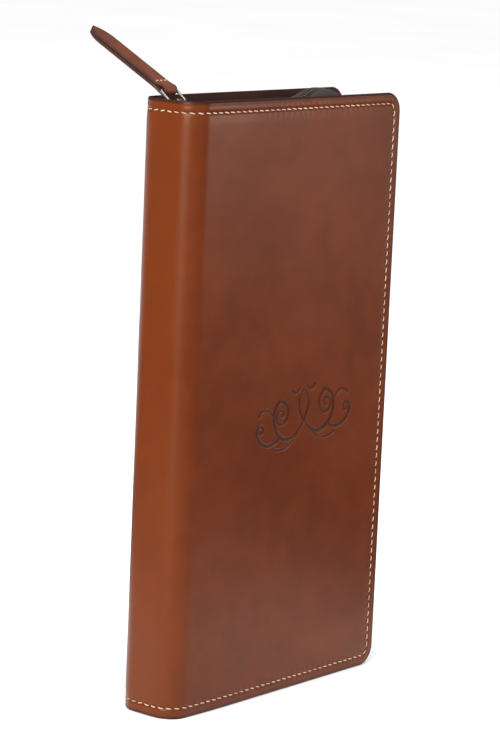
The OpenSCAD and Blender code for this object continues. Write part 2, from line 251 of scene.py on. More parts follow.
def soft_box(name, low, high, bevel, material):
    """Block with rounded edges between two corners."""
    mesh = bpy.data.meshes.new(name)
    shell = bmesh.new()
    size = Vector(high) - Vector(low)
    middle = Matrix.Translation((Vector(high) + Vector(low)) / 2)
    bmesh.ops.create_cube(shell, size=1, matrix=middle @ Matrix.Diagonal((*size, 1)))
    bmesh.ops.bevel(
        shell, geom=shell.edges[:], offset=bevel, segments=3, profile=0.5, affect="EDGES"
    )
    shell.to_mesh(mesh)
    shell.free()
    mesh.materials.append(material)
    return finish_mesh(shown(name, mesh), 30)


def join_meshes(name, meshes, crease):
    """One piece from several meshes of one material."""
    shell = bmesh.new()
    for mesh in meshes:
        shell.from_mesh(mesh)
    whole = meshes[0]
    shell.to_mesh(whole)
    shell.free()
    whole.name = name
    return finish_mesh(shown(name, whole), crease, fix=False)


def join(name, pieces):
    """One piece from several, which are removed."""
    meshes = [piece.data for piece in pieces]
    for piece in pieces:
        bpy.data.objects.remove(piece)
    return join_meshes(name, meshes, 30)


# ---- The case's own lines ----

def wrap_point(s, depth, side):
    """Place on the case's wall, a length s round from the middle of the spine and below its face."""
    s, depth = np.broadcast_arrays(np.asarray(s, float), np.asarray(depth, float))
    turn = np.clip((s - SPINE_HALF) / SPINE_R, 0, math.pi / 2)
    radius = SPINE_R - depth
    x = ARC_X - radius * np.cos(turn) + np.maximum(s - SPINE_HALF - ARC_L, 0)
    y = ARC_Y - radius * np.sin(turn) + np.maximum(SPINE_HALF - s, 0)
    return x, (y if side == FRONT else -y)


def wrap_out(s, side):
    """Direction away from the case at a length s round its wall."""
    turn = np.clip((np.asarray(s, float) - SPINE_HALF) / SPINE_R, 0, math.pi / 2)
    y = -np.sin(turn) if side == FRONT else np.sin(turn)
    return np.stack([-np.cos(turn), y, np.zeros_like(turn)], -1)


def panel_inset(s, z, length, height, corner):
    """Distance in from the edge of a panel whose two corners at the fore edge are rounded."""
    to_fore, to_end = length - s, np.minimum(z, height - z)
    cornered = (to_fore < corner) & (to_end < corner)
    from_centre = np.hypot(corner - to_fore, corner - to_end)
    return np.where(cornered, corner - from_centre, np.minimum(to_fore, to_end))


def cover_rim(t, inset):
    """Place and outward direction in XZ, a share t of the way round a cover's free edges.

    It runs from the top of the spine over the top, down the fore edge and back along the foot.
    """
    run, rise = X_FORE - CORNER_R - ARC_X, CASE_H - 2 * CORNER_R
    bend = CORNER_R * math.pi / 2
    far, top, foot = X_FORE - CORNER_R, CASE_H - CORNER_R, CORNER_R
    ends = np.cumsum([run, bend, rise, bend, run])
    # Each leg's start in XZ, its direction, its outward angle in degrees, and 1 where it turns
    legs = [
        (ARC_X, top, 1, 0, 90, 0), (far, top, 0, 0, 90, 1), (far, top, 0, -1, 0, 0),
        (far, foot, 0, 0, 0, 1), (far, foot, -1, 0, -90, 0),
    ]
    along = np.asarray(t, float) * (2 * run + 2 * bend + rise)
    x, z, angle = np.zeros_like(along), np.zeros_like(along), np.zeros_like(along)
    for leg, (x0, z0, way_x, way_z, angle0, turns) in enumerate(legs):
        start = ends[leg - 1] if leg else 0
        here = (along >= start) & ((along <= ends[leg]) | (leg == 4))
        d = along - start
        x = np.where(here, x0 + way_x * d, x)
        z = np.where(here, z0 + way_z * d, z)
        angle = np.where(here, angle0 - turns * np.degrees(d / CORNER_R), angle)
    out_x, out_z = np.cos(np.radians(angle)), np.sin(np.radians(angle))
    reach = CORNER_R - np.asarray(inset, float)
    return x + reach * out_x, z + reach * out_z, out_x, out_z


RIM_LENGTH = 2 * (X_FORE - CORNER_R - ARC_X) + CORNER_R * math.pi + CASE_H - 2 * CORNER_R


# ---- Materials ----

class Tree:
    """Short calls that add a node, set or join its inputs, and return what it puts out."""

    def __init__(self, tree):
        self.tree = tree

    def add(self, kind, inputs=None, **settings):
        node = self.tree.nodes.new(kind)
        for name, value in settings.items():
            setattr(node, name, value)
        for name, value in (inputs or {}).items():
            if isinstance(value, bpy.types.NodeSocket):
                self.tree.links.new(value, node.inputs[name])
            else:
                node.inputs[name].default_value = value
        return node

    def math(self, operation, *values):
        return self.add("ShaderNodeMath", dict(enumerate(values)), operation=operation).outputs[0]

    def plus(self, first, second):
        return self.math("ADD", first, second)

    def times(self, first, second):
        return self.math("MULTIPLY", first, second)

    def mix(self, share, first, second):
        node = self.add("ShaderNodeMix", {0: share, 6: first, 7: second}, data_type="RGBA")
        return node.outputs[2]

    def level(self, value, low, high, to_low=0.0, to_high=1.0):
        """value from low..high to to_low..to_high, with level ends."""
        inputs = {0: value, 1: low, 2: high, 3: to_low, 4: to_high}
        node = self.add("ShaderNodeMapRange", inputs, interpolation_type="SMOOTHSTEP")
        return node.outputs[0]

    def cloud(self, at, scale, detail=3.0, roughness=0.5, distortion=0.0):
        inputs = {
            "Vector": at, "Scale": scale, "Detail": detail,
            "Roughness": roughness, "Distortion": distortion,
        }
        return self.add("ShaderNodeTexNoise", inputs).outputs["Fac"]

    def mark(self, name):
        return self.add("ShaderNodeAttribute", attribute_name=name).outputs["Fac"]

    def stretched(self, at, scale):
        return self.add("ShaderNodeMapping", {"Vector": at, "Scale": scale}).outputs[0]

    def parts(self, at):
        return self.add("ShaderNodeSeparateXYZ", {0: at}).outputs


def new_group(name, inputs, outputs):
    """Shader node group with named sockets. Gives its tree, its inputs and its output node."""
    group = bpy.data.node_groups.new(name, "ShaderNodeTree")
    for socket, kind, value in inputs:
        made = group.interface.new_socket(socket, in_out="INPUT", socket_type="NodeSocket" + kind)
        if value is not None:
            made.default_value = value
    for socket, kind in outputs:
        group.interface.new_socket(socket, in_out="OUTPUT", socket_type="NodeSocket" + kind)
    tree = Tree(group)
    given = tree.add("NodeGroupInput").outputs
    return group, tree, given, tree.add("NodeGroupOutput")


def give(tree, node, **values):
    """Joins values to a node's inputs by name."""
    for name, value in values.items():
        tree.tree.links.new(value, node.inputs[name])


def hide_group():
    """Smooth dyed hide: mottled colour, fine pores and faint creases."""
    group, t, given, out = new_group(
        "dyed_hide",
        [("Place", "Vector", None), ("Light", "Color", None), ("Mid", "Color", None),
         ("Dark", "Color", None), ("Pores per metre", "Float", 1500.0), ("Gloss", "Float", 0.4)],
        [("Color", "Color"), ("Roughness", "Float"), ("Height", "Float")],
    )
    at = given["Place"]
    broad = t.cloud(at, 16.0, 2.0, 0.5, 0.2)
    patches = t.cloud(at, 90.0, 3.0, 0.5, 0.2)
    fibres = t.cloud(t.stretched(at, (60.0, 9.0, 60.0)), 14.0, 4.0, 0.65)
    specks = t.cloud(at, 1400.0, 2.0, 0.5)
    tone = t.plus(t.times(broad, 0.55), t.times(patches, 0.45))
    color = t.mix(t.level(tone, 0.36, 0.56), given["Dark"], given["Mid"])
    color = t.mix(t.level(tone, 0.5, 0.72), color, given["Light"])
    color = t.mix(t.level(fibres, 0.4, 0.75, 0.0, 0.22), color, given["Dark"])
    color = t.mix(t.level(specks, 0.62, 0.8, 0.0, 0.35), color, given["Dark"])
    pores = t.add(
        "ShaderNodeTexVoronoi",
        {"Vector": at, "Scale": given["Pores per metre"], "Randomness": 1.0},
        feature="DISTANCE_TO_EDGE",
    ).outputs["Distance"]
    cells = t.level(pores, 0.0, 0.12)
    creases = t.cloud(t.stretched(at, (1.0, 0.5, 1.0)), 500.0, 3.0, 0.5, 0.3)
    height = t.plus(t.times(cells, 0.4), t.times(creases, 0.2))
    rough = t.plus(given["Gloss"], t.level(broad, 0.3, 0.7, -0.02, 0.03))
    rough = t.plus(rough, t.level(cells, 0.0, 1.0, 0.05, 0.0))
    give(t, out, Color=color, Roughness=rough, Height=height)
    return group


def edge_group():
    """How much an edge is burnished, and how much shade is painted in the groove beside the thread."""
    group, t, given, out = new_group(
        "burnish_and_painted_seam_shade",
        [("Place", "Vector", None), ("Inset", "Float", 0.0), ("Rim", "Float", 1.0),
         ("Seam", "Float", 4.4)],
        [("Burnish", "Float"), ("Seam shade", "Float")],
    )
    uneven = t.times(t.cloud(given["Place"], 260.0, 3.0), 0.5)
    rim = t.math("SUBTRACT", t.math("DIVIDE", given["Inset"], given["Rim"]), uneven)
    burnish = t.level(rim, 0.15, 0.9, 1.0, 0.0)
    # Painted shade: darker along the stitch groove beside the thread.
    beside = t.math("ABSOLUTE", t.math("SUBTRACT", given["Inset"], given["Seam"]))
    give(t, out, **{"Burnish": burnish, "Seam shade": t.level(beside, 0.15, 1.0, 1.0, 0.0)})
    return group


def cloth_group():
    """Plain or twill weave from crossing threads."""
    group, t, given, out = new_group(
        "woven_cloth",
        [("Place", "Vector", None), ("Threads per metre", "Float", 2500.0), ("Twill", "Float", 0.0)],
        [("Thread", "Float"), ("Height", "Float")],
    )
    x, y = t.parts(given["Place"])[:2]
    turns = t.times(given["Threads per metre"], 2 * math.pi)
    lean = t.times(y, given["Twill"])
    warp = t.math("SINE", t.times(t.plus(x, lean), turns))
    weft = t.math("SINE", t.times(y, turns))
    crossing = t.times(warp, weft)
    fuzz = t.cloud(given["Place"], 1800.0, 3.0, 0.6)
    height = t.plus(t.level(crossing, -1.0, 1.0), t.times(fuzz, 0.5))
    give(t, out, Thread=t.level(crossing, -0.6, 0.8), Height=height)
    return group


def plated_group():
    """Plated metal: soft smudges and fine rubbed scratches."""
    group, t, given, out = new_group(
        "plated_wear",
        [("Place", "Vector", None), ("Bright", "Color", None), ("Dull", "Color", None)],
        [("Color", "Color"), ("Roughness", "Float"), ("Height", "Float")],
    )
    smudge = t.cloud(given["Place"], 500.0, 4.0, 0.6)
    rubs = t.cloud(t.stretched(given["Place"], (1.0, 14.0, 5.0)), 700.0, 2.0, 0.7)
    worn = t.level(t.plus(smudge, rubs), 0.85, 1.3)
    rough = t.plus(t.level(smudge, 0.3, 0.7, 0.14, 0.3), t.times(rubs, 0.08))
    give(t, out, Color=t.mix(worn, given["Bright"], given["Dull"]), Roughness=rough, Height=rubs)
    return group


GROUPS = {
    "hide": hide_group(), "edges": edge_group(), "cloth": cloth_group(), "plated": plated_group(),
}


def new_material(name):
    """A material, the tree of its nodes and its Principled shader."""
    material = bpy.data.materials.new(name)
    material.use_nodes = True
    material.node_tree.nodes.clear()
    t = Tree(material.node_tree)
    shader = t.add("ShaderNodeBsdfPrincipled")
    t.add("ShaderNodeOutputMaterial", {"Surface": shader.outputs[0]})
    return material, t, shader


def use_group(t, name, **inputs):
    """What a shader group puts out. An input's name has _ for a space."""
    values = {key.replace("_", " "): value for key, value in inputs.items()}
    return t.add("ShaderNodeGroup", values, node_tree=GROUPS[name]).outputs


def surface(t, shader, color, roughness, height, strength, depth):
    """Colour, roughness and relief of a material, from patterns that change over it."""
    relief = t.add("ShaderNodeBump", {"Height": height, "Strength": strength, "Distance": depth})
    give(t, shader, **{"Base Color": color, "Roughness": roughness, "Normal": relief.outputs[0]})


def rgb(red, green, blue):
    """A colour as it looks on a screen, 0 to 255, for a shader."""
    linear = [((c / 255 + 0.055) / 1.055) ** 2.4 if c > 10 else c / 3300 for c in (red, green, blue)]
    return (*linear, 1.0)


def uv_place(t):
    """Place on the piece's own surface, in metres."""
    return t.add("ShaderNodeUVMap", uv_map="UVMap").outputs[0]


def own_place(t):
    """Place in the piece's own space, in metres."""
    return t.add("ShaderNodeTexCoord").outputs["Object"]


def cover_leather():
    """Chestnut cowhide, burnished at its edges, with a pressed pattern and a rough flesh side. Painted
    light makes the spine side lighter and painted shade darkens the stitch groove.
    """
    material, t, shader = new_material("chestnut_cowhide")
    at = uv_place(t)
    hide = use_group(
        t, "hide", Place=at, Light=rgb(97, 38, 6), Mid=rgb(90, 34, 5), Dark=rgb(82, 30, 5),
        Pores_per_metre=1500.0, Gloss=0.31,
    )
    edges = use_group(t, "edges", Place=at, Inset=t.mark("inset"), Rim=1.5, Seam=4.4)
    # Painted light: the spine side is made lighter and more orange, as if lit by the key lamp, fading
    # out round its corner (bend mark).
    color = t.mix(t.times(t.mark("bend"), 0.5), hide["Color"], rgb(104, 43, 5))
    # Painted shade in the stitch groove beside the thread.
    color = t.mix(t.times(edges["Seam shade"], 0.4), color, rgb(78, 28, 14))
    color = t.mix(t.times(edges["Burnish"], 0.86), color, rgb(44, 19, 13))
    color = t.mix(t.times(t.mark("pressed"), 0.8), color, rgb(44, 18, 13))
    color = t.mix(t.mark("flesh"), color, rgb(58, 33, 24))
    rough = t.plus(hide["Roughness"], t.times(t.mark("pressed"), 0.12))
    rough = t.plus(rough, t.times(t.mark("flesh"), 0.4))
    shader.inputs["Specular IOR Level"].default_value = 0.32
    shader.inputs["Specular Tint"].default_value = (1.0, 0.86, 0.7, 1.0)
    surface(t, shader, color, rough, hide["Height"], 0.2, 0.12 * MM)
    return material


def thin_leather(name, light, mid, dark, pores, gloss):
    """Leather of the strap, the pockets and the book's binding, burnished at its edges."""
    material, t, shader = new_material(name)
    at = uv_place(t)
    hide = use_group(
        t, "hide", Place=at, Light=light, Mid=mid, Dark=dark, Pores_per_metre=pores, Gloss=gloss
    )
    edges = use_group(t, "edges", Place=at, Inset=t.mark("inset"), Rim=0.9, Seam=2.6)
    color = t.mix(t.times(edges["Burnish"], 0.8), hide["Color"], rgb(40, 20, 15))
    surface(t, shader, color, hide["Roughness"], hide["Height"], 0.35, 0.12 * MM)
    return material


def woven(name, light, dark, threads, twill, roughness, depth, sheen=0.3):
    """Cloth with worn patches, with painted light on the raised threads and painted shade between them.
    """
    material, t, shader = new_material(name)
    cloth = use_group(t, "cloth", Place=uv_place(t), Threads_per_metre=threads, Twill=twill)
    worn = t.level(t.cloud(uv_place(t), 90.0, 4.0), 0.35, 0.7, 0.0, 0.35)
    # Painted light and shade: the weave is lighter on the raised threads and darker between them; the
    # worn patches are real.
    color = t.mix(worn, t.mix(cloth["Thread"], dark, light), light)
    rough = t.level(cloth["Thread"], 0.0, 1.0, min(roughness + 0.12, 1), roughness)
    shader.inputs["Sheen Weight"].default_value = sheen
    surface(t, shader, color, rough, cloth["Height"], 0.6, depth)
    return material


def waxed_thread():
    """Three-ply thread: the plies wind round it with painted shade in the grooves between them, and wax
    has darkened it in places.
    """
    material, t, shader = new_material("waxed_thread")
    u, v = t.parts(uv_place(t))[:2]
    winding = t.plus(t.times(u, 4.0), t.times(v, 3.0))
    ply = t.math("ABSOLUTE", t.math("SINE", t.times(winding, math.pi)))
    wax = t.level(t.cloud(own_place(t), 160.0, 3.0), 0.35, 0.7)
    color = t.mix(wax, rgb(204, 174, 146), rgb(174, 138, 108))
    # Painted shade: darker in the grooves between the plies.
    color = t.mix(t.level(ply, 0.0, 0.45, 0.6, 0.0), color, rgb(130, 92, 64))
    surface(t, shader, color, t.level(ply, 0.0, 1.0, 0.75, 0.5), ply, 0.7, 0.08 * MM)
    return material


def nickel():
    """Bright plate with smudges and rubbed places."""
    material, t, shader = new_material("plated_nickel")
    plated = use_group(
        t, "plated", Place=own_place(t), Bright=rgb(214, 212, 206), Dull=rgb(168, 164, 156)
    )
    shader.inputs["Metallic"].default_value = 1.0
    surface(t, shader, plated["Color"], plated["Roughness"], plated["Height"], 0.15, 0.03 * MM)
    return material


def coil_nylon():
    """Dark moulded nylon, duller where grime has settled."""
    material, t, shader = new_material("coil_nylon")
    grime = t.level(t.cloud(own_place(t), 700.0, 3.0), 0.4, 0.7)
    color = t.mix(grime, rgb(62, 50, 46), rgb(34, 27, 25))
    rough = t.level(grime, 0.0, 1.0, 0.3, 0.5)
    shader.inputs["Coat Weight"].default_value = 0.2
    surface(t, shader, color, rough, t.cloud(own_place(t), 2600.0, 2.0), 0.2, 0.04 * MM)
    return material


def grey_board():
    """Pressed grey board with fibres in it."""
    material, t, shader = new_material("grey_board")
    fibres = t.cloud(t.stretched(own_place(t), (1.0, 1.0, 6.0)), 500.0, 5.0, 0.7)
    specks = t.cloud(own_place(t), 1500.0, 1.0)
    color = t.mix(t.level(fibres, 0.35, 0.65), rgb(150, 142, 126), rgb(178, 170, 152))
    color = t.mix(t.level(specks, 0.66, 0.74, 0.0, 0.6), color, rgb(92, 84, 72))
    surface(t, shader, color, t.level(fibres, 0.3, 0.7, 0.8, 0.92), fibres, 0.5, 0.1 * MM)
    return material


PRINT_PITCH = 2.9 * MM


def book_pages():
    """Thin paper: gilt edges with a line for each leaf, and rows of dashes that stand for text."""
    material, t, shader = new_material("bible_paper")
    x, z = t.parts(uv_place(t))[:2]
    leaf = t.mark("leaf")
    edge = t.mark("edge")
    fibre = t.cloud(own_place(t), 900.0, 4.0, 0.6)
    paper = t.mix(t.level(fibre, 0.35, 0.7), rgb(243, 236, 220), rgb(232, 222, 202))
    rows = t.times(z, 1 / PRINT_PITCH)
    row = t.math("FRACT", rows)
    inked = t.times(t.level(row, 0.3, 0.36), t.level(row, 0.62, 0.68, 1.0, 0.0))
    spot = t.add("ShaderNodeCombineXYZ", {0: t.times(x, 900.0), 1: t.math("FLOOR", rows)}).outputs[0]
    words = t.level(t.cloud(spot, 1.0, 1.0), 0.42, 0.46)
    columns = t.times(t.mark("column"), t.math("SUBTRACT", 1.0, edge))
    ink = t.times(t.times(inked, words), t.times(columns, 0.72))
    color = t.mix(ink, paper, rgb(58, 52, 50))
    stripes = t.cloud(
        t.add("ShaderNodeCombineXYZ", {0: t.times(leaf, 26.0)}).outputs[0], 4.0, 2.0, 0.8
    )
    gilt = t.mix(t.level(stripes, 0.35, 0.65), rgb(206, 162, 84), rgb(138, 98, 44))
    color = t.mix(edge, color, gilt)
    rough = t.mix(edge, (0.85, 0.85, 0.85, 1), (0.36, 0.36, 0.36, 1))
    height = t.plus(t.times(stripes, edge), t.times(fibre, 0.1))
    give(t, shader, Metallic=t.times(edge, 0.75))
    surface(t, shader, color, rough, height, 0.6, 0.12 * MM)
    return material


def end_paper():
    """Laid paper: close parallel lines with a wider chain line now and then."""
    material, t, shader = new_material("laid_paper")
    x, z = t.parts(uv_place(t))[:2]
    laid = t.math("SINE", t.times(x, 2 * math.pi * 900))
    chain = t.level(t.math("SINE", t.times(z, 2 * math.pi * 45)), 0.97, 1.0)
    fibre = t.cloud(own_place(t), 700.0, 4.0, 0.65)
    color = t.mix(t.level(fibre, 0.35, 0.7), rgb(226, 208, 172), rgb(206, 184, 144))
    color = t.mix(t.times(chain, 0.25), color, rgb(176, 152, 112))
    rough = t.level(fibre, 0.3, 0.7, 0.8, 0.92)
    surface(t, shader, color, rough, t.plus(laid, fibre), 0.25, 0.04 * MM)
    return material


def banded_silk():
    """Sewn silk in two colours, one stripe for each turn of the thread."""
    material, t, shader = new_material("sewn_silk")
    turn = t.math("FRACT", t.times(t.mark("turn"), 0.5))
    shade = t.level(t.cloud(own_place(t), 1600.0, 3.0), 0.35, 0.7)
    red = t.mix(shade, rgb(142, 28, 34), rgb(104, 18, 24))
    cream = t.mix(shade, rgb(232, 216, 178), rgb(204, 184, 142))
    color = t.mix(t.level(turn, 0.48, 0.52), red, cream)
    shader.inputs["Sheen Weight"].default_value = 0.4
    surface(t, shader, color, t.level(shade, 0.0, 1.0, 0.45, 0.6), shade, 0.3, 0.05 * MM)
    return material


def satin(name, light, dark):
    """Ribbon with fine lengthwise floats and slubs."""
    material, t, shader = new_material(name)
    x = t.parts(uv_place(t))[0]
    floats = t.math("SINE", t.times(x, 2 * math.pi * 5200))
    slubs = t.cloud(t.stretched(uv_place(t), (40.0, 1.0, 1.0)), 90.0, 3.0, 0.6)
    shade = t.level(t.plus(t.times(floats, 0.2), slubs), 0.25, 0.8)
    color, rough = t.mix(shade, dark, light), t.level(shade, 0.0, 1.0, 0.42, 0.3)
    shader.inputs["Anisotropic"].default_value = 0.5
    surface(t, shader, color, rough, t.plus(floats, slubs), 0.3, 0.04 * MM)
    return material


def floor_paper():
    """Pale paper. Mirror-like rays see it dark, except under the case and far behind it.

    That keeps its whiteness out of the leather's gloss.
    """
    material, t, shader = new_material("pale_floor")
    tone = t.cloud(own_place(t), 3.0, 2.0)
    color = t.mix(t.level(tone, 0.3, 0.7), (0.93, 0.93, 0.925, 1), (0.95, 0.95, 0.95, 1))
    away = t.add("ShaderNodeVectorMath", {0: own_place(t)}, operation="LENGTH").outputs["Value"]
    x, y = t.parts(own_place(t))[:2]
    in_front = t.level(t.plus(x, y), 0.45, 0.9, 1.0, 0.0)
    shaded = t.times(t.level(away, 0.12, 0.34), in_front)
    shaded = t.times(shaded, t.add("ShaderNodeLightPath").outputs["Is Glossy Ray"])
    color = t.mix(shaded, color, (0.05, 0.05, 0.05, 1))
    give(t, shader, **{"Base Color": color, "Roughness": t.level(tone, 0.3, 0.7, 0.9, 1.0)})
    shader.inputs["Specular IOR Level"].default_value = 0.0
    return material


COWHIDE = cover_leather()
TAB_HIDE = thin_leather(
    "tab_cowhide", rgb(136, 70, 36), rgb(116, 55, 27), rgb(90, 40, 21), 1700.0, 0.4
)
POCKET_HIDE = thin_leather(
    "pocket_calf", rgb(112, 60, 38), rgb(92, 46, 30), rgb(70, 34, 24), 1900.0, 0.5
)
BLACK_CALF = thin_leather(
    "black_calf", rgb(52, 44, 42), rgb(36, 30, 29), rgb(22, 18, 18), 1300.0, 0.42
)
LINING = woven("lining_cloth", rgb(86, 58, 42), rgb(52, 33, 24), 1700.0, 0.0, 0.75, 0.08 * MM)
TAPE = woven("zip_twill", rgb(50, 34, 28), rgb(24, 16, 13), 1300.0, 0.8, 0.72, 0.12 * MM, 0.06)
THREAD = waxed_thread()
NICKEL = nickel()
COIL = coil_nylon()
BOARD = grey_board()
PAPER = book_pages()
END_PAPER = end_paper()
SILK = banded_silk()
RED_RIBBON = satin("red_satin", rgb(168, 30, 40), rgb(104, 14, 24))
GOLD_RIBBON = satin("gold_satin", rgb(206, 164, 84), rgb(142, 104, 44))


# ---- Shapes repeated along a path ----

def repeat_tree():
    """Geometry nodes that repeat a shape along a path, square to the path's "out" direction."""
    group = bpy.data.node_groups.new("repeat_along", "GeometryNodeTree")
    sockets = [
        ("Path", "Geometry"), ("Shape", "Object"), ("Count", "Int"), ("Seed", "Int"),
        ("Slant", "Float"), ("Turn jitter", "Float"), ("Size jitter", "Float"),
        ("Finish", "Material"),
    ]
    for name, kind in sockets:
        group.interface.new_socket(name, in_out="INPUT", socket_type="NodeSocket" + kind)
    group.interface.new_socket("Mesh", in_out="OUTPUT", socket_type="NodeSocketGeometry")
    t = Tree(group)
    given = t.add("NodeGroupInput").outputs
    line = t.add("GeometryNodeMeshToCurve", {"Mesh": given["Path"]}).outputs[0]
    points = t.add("GeometryNodeCurveToPoints", {"Curve": line, "Count": given["Count"]}, mode="COUNT")
    out = t.add("GeometryNodeInputNamedAttribute", {"Name": "out"}, data_type="FLOAT_VECTOR")
    along = t.add(
        "FunctionNodeAlignRotationToVector", {"Vector": points.outputs["Tangent"]}, axis="X"
    )
    upright = t.add(
        "FunctionNodeAlignRotationToVector",
        {"Rotation": along.outputs[0], "Vector": out.outputs[0]}, axis="Z", pivot_axis="X",
    )
    less = t.times(given["Turn jitter"], -1.0)
    jitter = t.add(
        "FunctionNodeRandomValue", {2: less, 3: given["Turn jitter"], "Seed": given["Seed"]},
        data_type="FLOAT",
    )
    turn = t.plus(jitter.outputs[1], given["Slant"])
    euler = t.add("ShaderNodeCombineXYZ", {2: turn}).outputs[0]
    turned = t.add(
        "FunctionNodeRotateRotation",
        {0: upright.outputs[0], 1: t.add("FunctionNodeEulerToRotation", {0: euler}).outputs[0]},
        rotation_space="LOCAL",
    )
    smaller = t.math("SUBTRACT", 1.0, given["Size jitter"])
    larger = t.plus(1.0, given["Size jitter"])
    size = t.add(
        "FunctionNodeRandomValue",
        {2: smaller, 3: larger, "Seed": t.plus(given["Seed"], 1.0)}, data_type="FLOAT",
    )
    shape = t.add("GeometryNodeObjectInfo", {"Object": given["Shape"]}).outputs["Geometry"]
    placed = t.add("GeometryNodeInstanceOnPoints", {
        "Points": points.outputs["Points"], "Instance": shape,
        "Rotation": turned.outputs[0], "Scale": size.outputs[1],
    }).outputs[0]
    real = t.add("GeometryNodeRealizeInstances", {"Geometry": placed}).outputs[0]
    finished = t.add("GeometryNodeSetMaterial", {"Geometry": real, "Material": given["Finish"]})
    t.add("NodeGroupOutput", {"Mesh": finished.outputs[0]})
    return group


REPEAT_ALONG = repeat_tree()


def repeat_along(name, paths, shape, counts, finish, seed, slant=0.0, turn=0.0, size=0.0):
    """One mesh of a shape repeated along each path. A path is its points and out directions."""
    meshes = []
    for (points, out), count in zip(paths, counts):
        line = bpy.data.meshes.new(name + "_line")
        line.from_pydata(points.tolist(), [(k, k + 1) for k in range(len(points) - 1)], [])
        outward = line.attributes.new("out", "FLOAT_VECTOR", "POINT")
        outward.data.foreach_set("vector", np.asarray(out, np.float32).ravel())
        runner = shown(name + "_runner", line)
        modifier = runner.modifiers.new("repeat", "NODES")
        modifier.node_group = REPEAT_ALONG
        values = {
            "Shape": shape, "Count": count, "Seed": seed, "Slant": slant,
            "Turn jitter": turn, "Size jitter": size, "Finish": finish,
        }
        for socket in REPEAT_ALONG.interface.items_tree:
            if socket.in_out == "INPUT" and socket.name in values:
                modifier[socket.identifier] = values[socket.name]
        repeated = runner.evaluated_get(bpy.context.evaluated_depsgraph_get())
        meshes.append(bpy.data.meshes.new_from_object(repeated))
        bpy.data.objects.remove(runner)
    return join_meshes(name, meshes, 60)


def stitch_shape(length, width):
    """One stitch along X: it rises out of its hole, lies on the leather and dives again."""
    rings, uv = [], []
    ends = 0.5 * width
    for k in range(8):
        share = -1 + 2 * k / 7
        x = share * length / 2
        z = ends * (0.2 - 1.15 * abs(share) ** 3)
        fat = width / 2 * (1 - 0.35 * abs(share) ** 4)
        around = np.arange(7) * 2 * math.pi / 7
        rings.append(np.stack([x + 0 * around, fat * np.cos(around), z + 0.8 * fat * np.sin(around)], 1))
        uv.extend([(k / 7, a / 7) for a in range(7)])
    points, faces = loft(rings)
    return make_piece("stitch_shape", points, faces, THREAD, uv)


# ---- Leather and lining: one skin for each half, bent round the spine's corner ----

SEAM_R = CORNER_R - STITCH_INSET
SEAM_RUN = WRAP - STITCH_INSET - SEAM_R
SEAM_BEND = SEAM_R * math.pi / 2
SEAM_RISE = CASE_H - 2 * STITCH_INSET - 2 * SEAM_R
SEAM_LENGTH = 2 * SEAM_RUN + 2 * SEAM_BEND + SEAM_RISE
STITCHES = round(SEAM_LENGTH / STITCH_PITCH)
STITCH_STEP = SEAM_LENGTH / STITCHES


def seam_point(q):
    """Place (s, z) a length q along the stitch line, from the foot of the spine's middle."""
    if q > SEAM_LENGTH / 2:
        s, z = seam_point(SEAM_LENGTH - q)
        return s, CASE_H - z
    if q < SEAM_RUN:
        return q, STITCH_INSET
    if q < SEAM_RUN + SEAM_BEND:
        angle = (q - SEAM_RUN) / SEAM_R
        return SEAM_RUN + SEAM_R * math.sin(angle), STITCH_INSET + SEAM_R * (1 - math.cos(angle))
    return WRAP - STITCH_INSET, STITCH_INSET + SEAM_R + q - SEAM_RUN - SEAM_BEND


def seam_length_at(s, z):
    """Length along the stitch line beside a place on the leather, the same from either end."""
    low = np.minimum(z, CASE_H - z)
    across, up = s - SEAM_RUN, STITCH_INSET + SEAM_R - low
    angle = np.arctan2(np.maximum(across, 0), np.maximum(up, 1e-9))
    bend = SEAM_RUN + SEAM_R * angle
    rise = SEAM_RUN + SEAM_BEND - np.minimum(up, 0)
    return np.where(across <= 0, s, np.where(up > 0, bend, rise))


FLOURISH_AT = (X_SPINE + 73.5 * MM, 114 * MM)
FLOURISH_HALF = (34 * MM, 16 * MM)
FLOURISH_TURN = math.radians(4)
PRESS_DEPTH = 0.42 * MM


def bezier(a, b, c, d):
    """Points on a cubic curve from a to d, led by b and c."""
    t = np.linspace(0, 1, 60)[:, None]
    a, b, c, d = (np.array(p, float) for p in (a, b, c, d))
    return (1 - t) ** 3 * a + 3 * (1 - t) ** 2 * t * b + 3 * (1 - t) * t ** 2 * c + t ** 3 * d


def spiral(centre, outer, inner, start, turns):
    """Volute that winds in from its outer radius. Its start is in degrees."""
    t = np.linspace(0, 1, 150)
    radius = outer + (inner - outer) * t ** 0.75
    angle = np.radians(start) + 2 * math.pi * turns * t
    return np.stack([centre[0] + radius * np.cos(angle), centre[1] + radius * np.sin(angle)], 1)


def flourish():
    """Points in mm and half widths of a scroll ornament, one half drawn and the other mirrored."""
    half = [
        (bezier((0, -3.2), (5.5, -10.5), (11.5, -10.2), (15.2, -7.4)), 0.3, 0.75),
        (bezier((15.2, -7.4), (20.5, -3.6), (20.6, 5.4), (14.2, 7.2)), 0.75, 0.55),
        (spiral((14.4, 1.3), 5.9, 0.8, 92, 1.45), 0.55, 0.2),
        (bezier((15.2, -7.4), (20.5, -11.4), (27.5, -9.6), (29.6, -4.2)), 0.5, 0.6),
        (spiral((27.2, -2.8), 2.8, 0.5, -30, 1.2), 0.6, 0.2),
        (bezier((0, 9.4), (3.8, 6.4), (4.4, 2.2), (0, -3.2)), 0.22, 0.62),
        (bezier((2.2, 10.2), (4.2, 8.4), (6.0, 8.6), (7.4, 10.4)), 0.24, 0.4),
        (bezier((19.1, 1.6), (22.4, 6.6), (27.4, 5.6), (28.2, 3.0)), 0.34, 0.26),
        (bezier((4.6, -8.2), (8.6, -13.0), (15.0, -13.6), (19.4, -11.6)), 0.16, 0.32),
    ]
    points, widths = [], []
    for line, first, last in half:
        width = first + (last - first) * np.linspace(0, 1, len(line))
        for mirror in (1, -1):
            points.append(line * (mirror, 1))
            widths.append(width)
    return np.vstack(points), np.concatenate(widths)


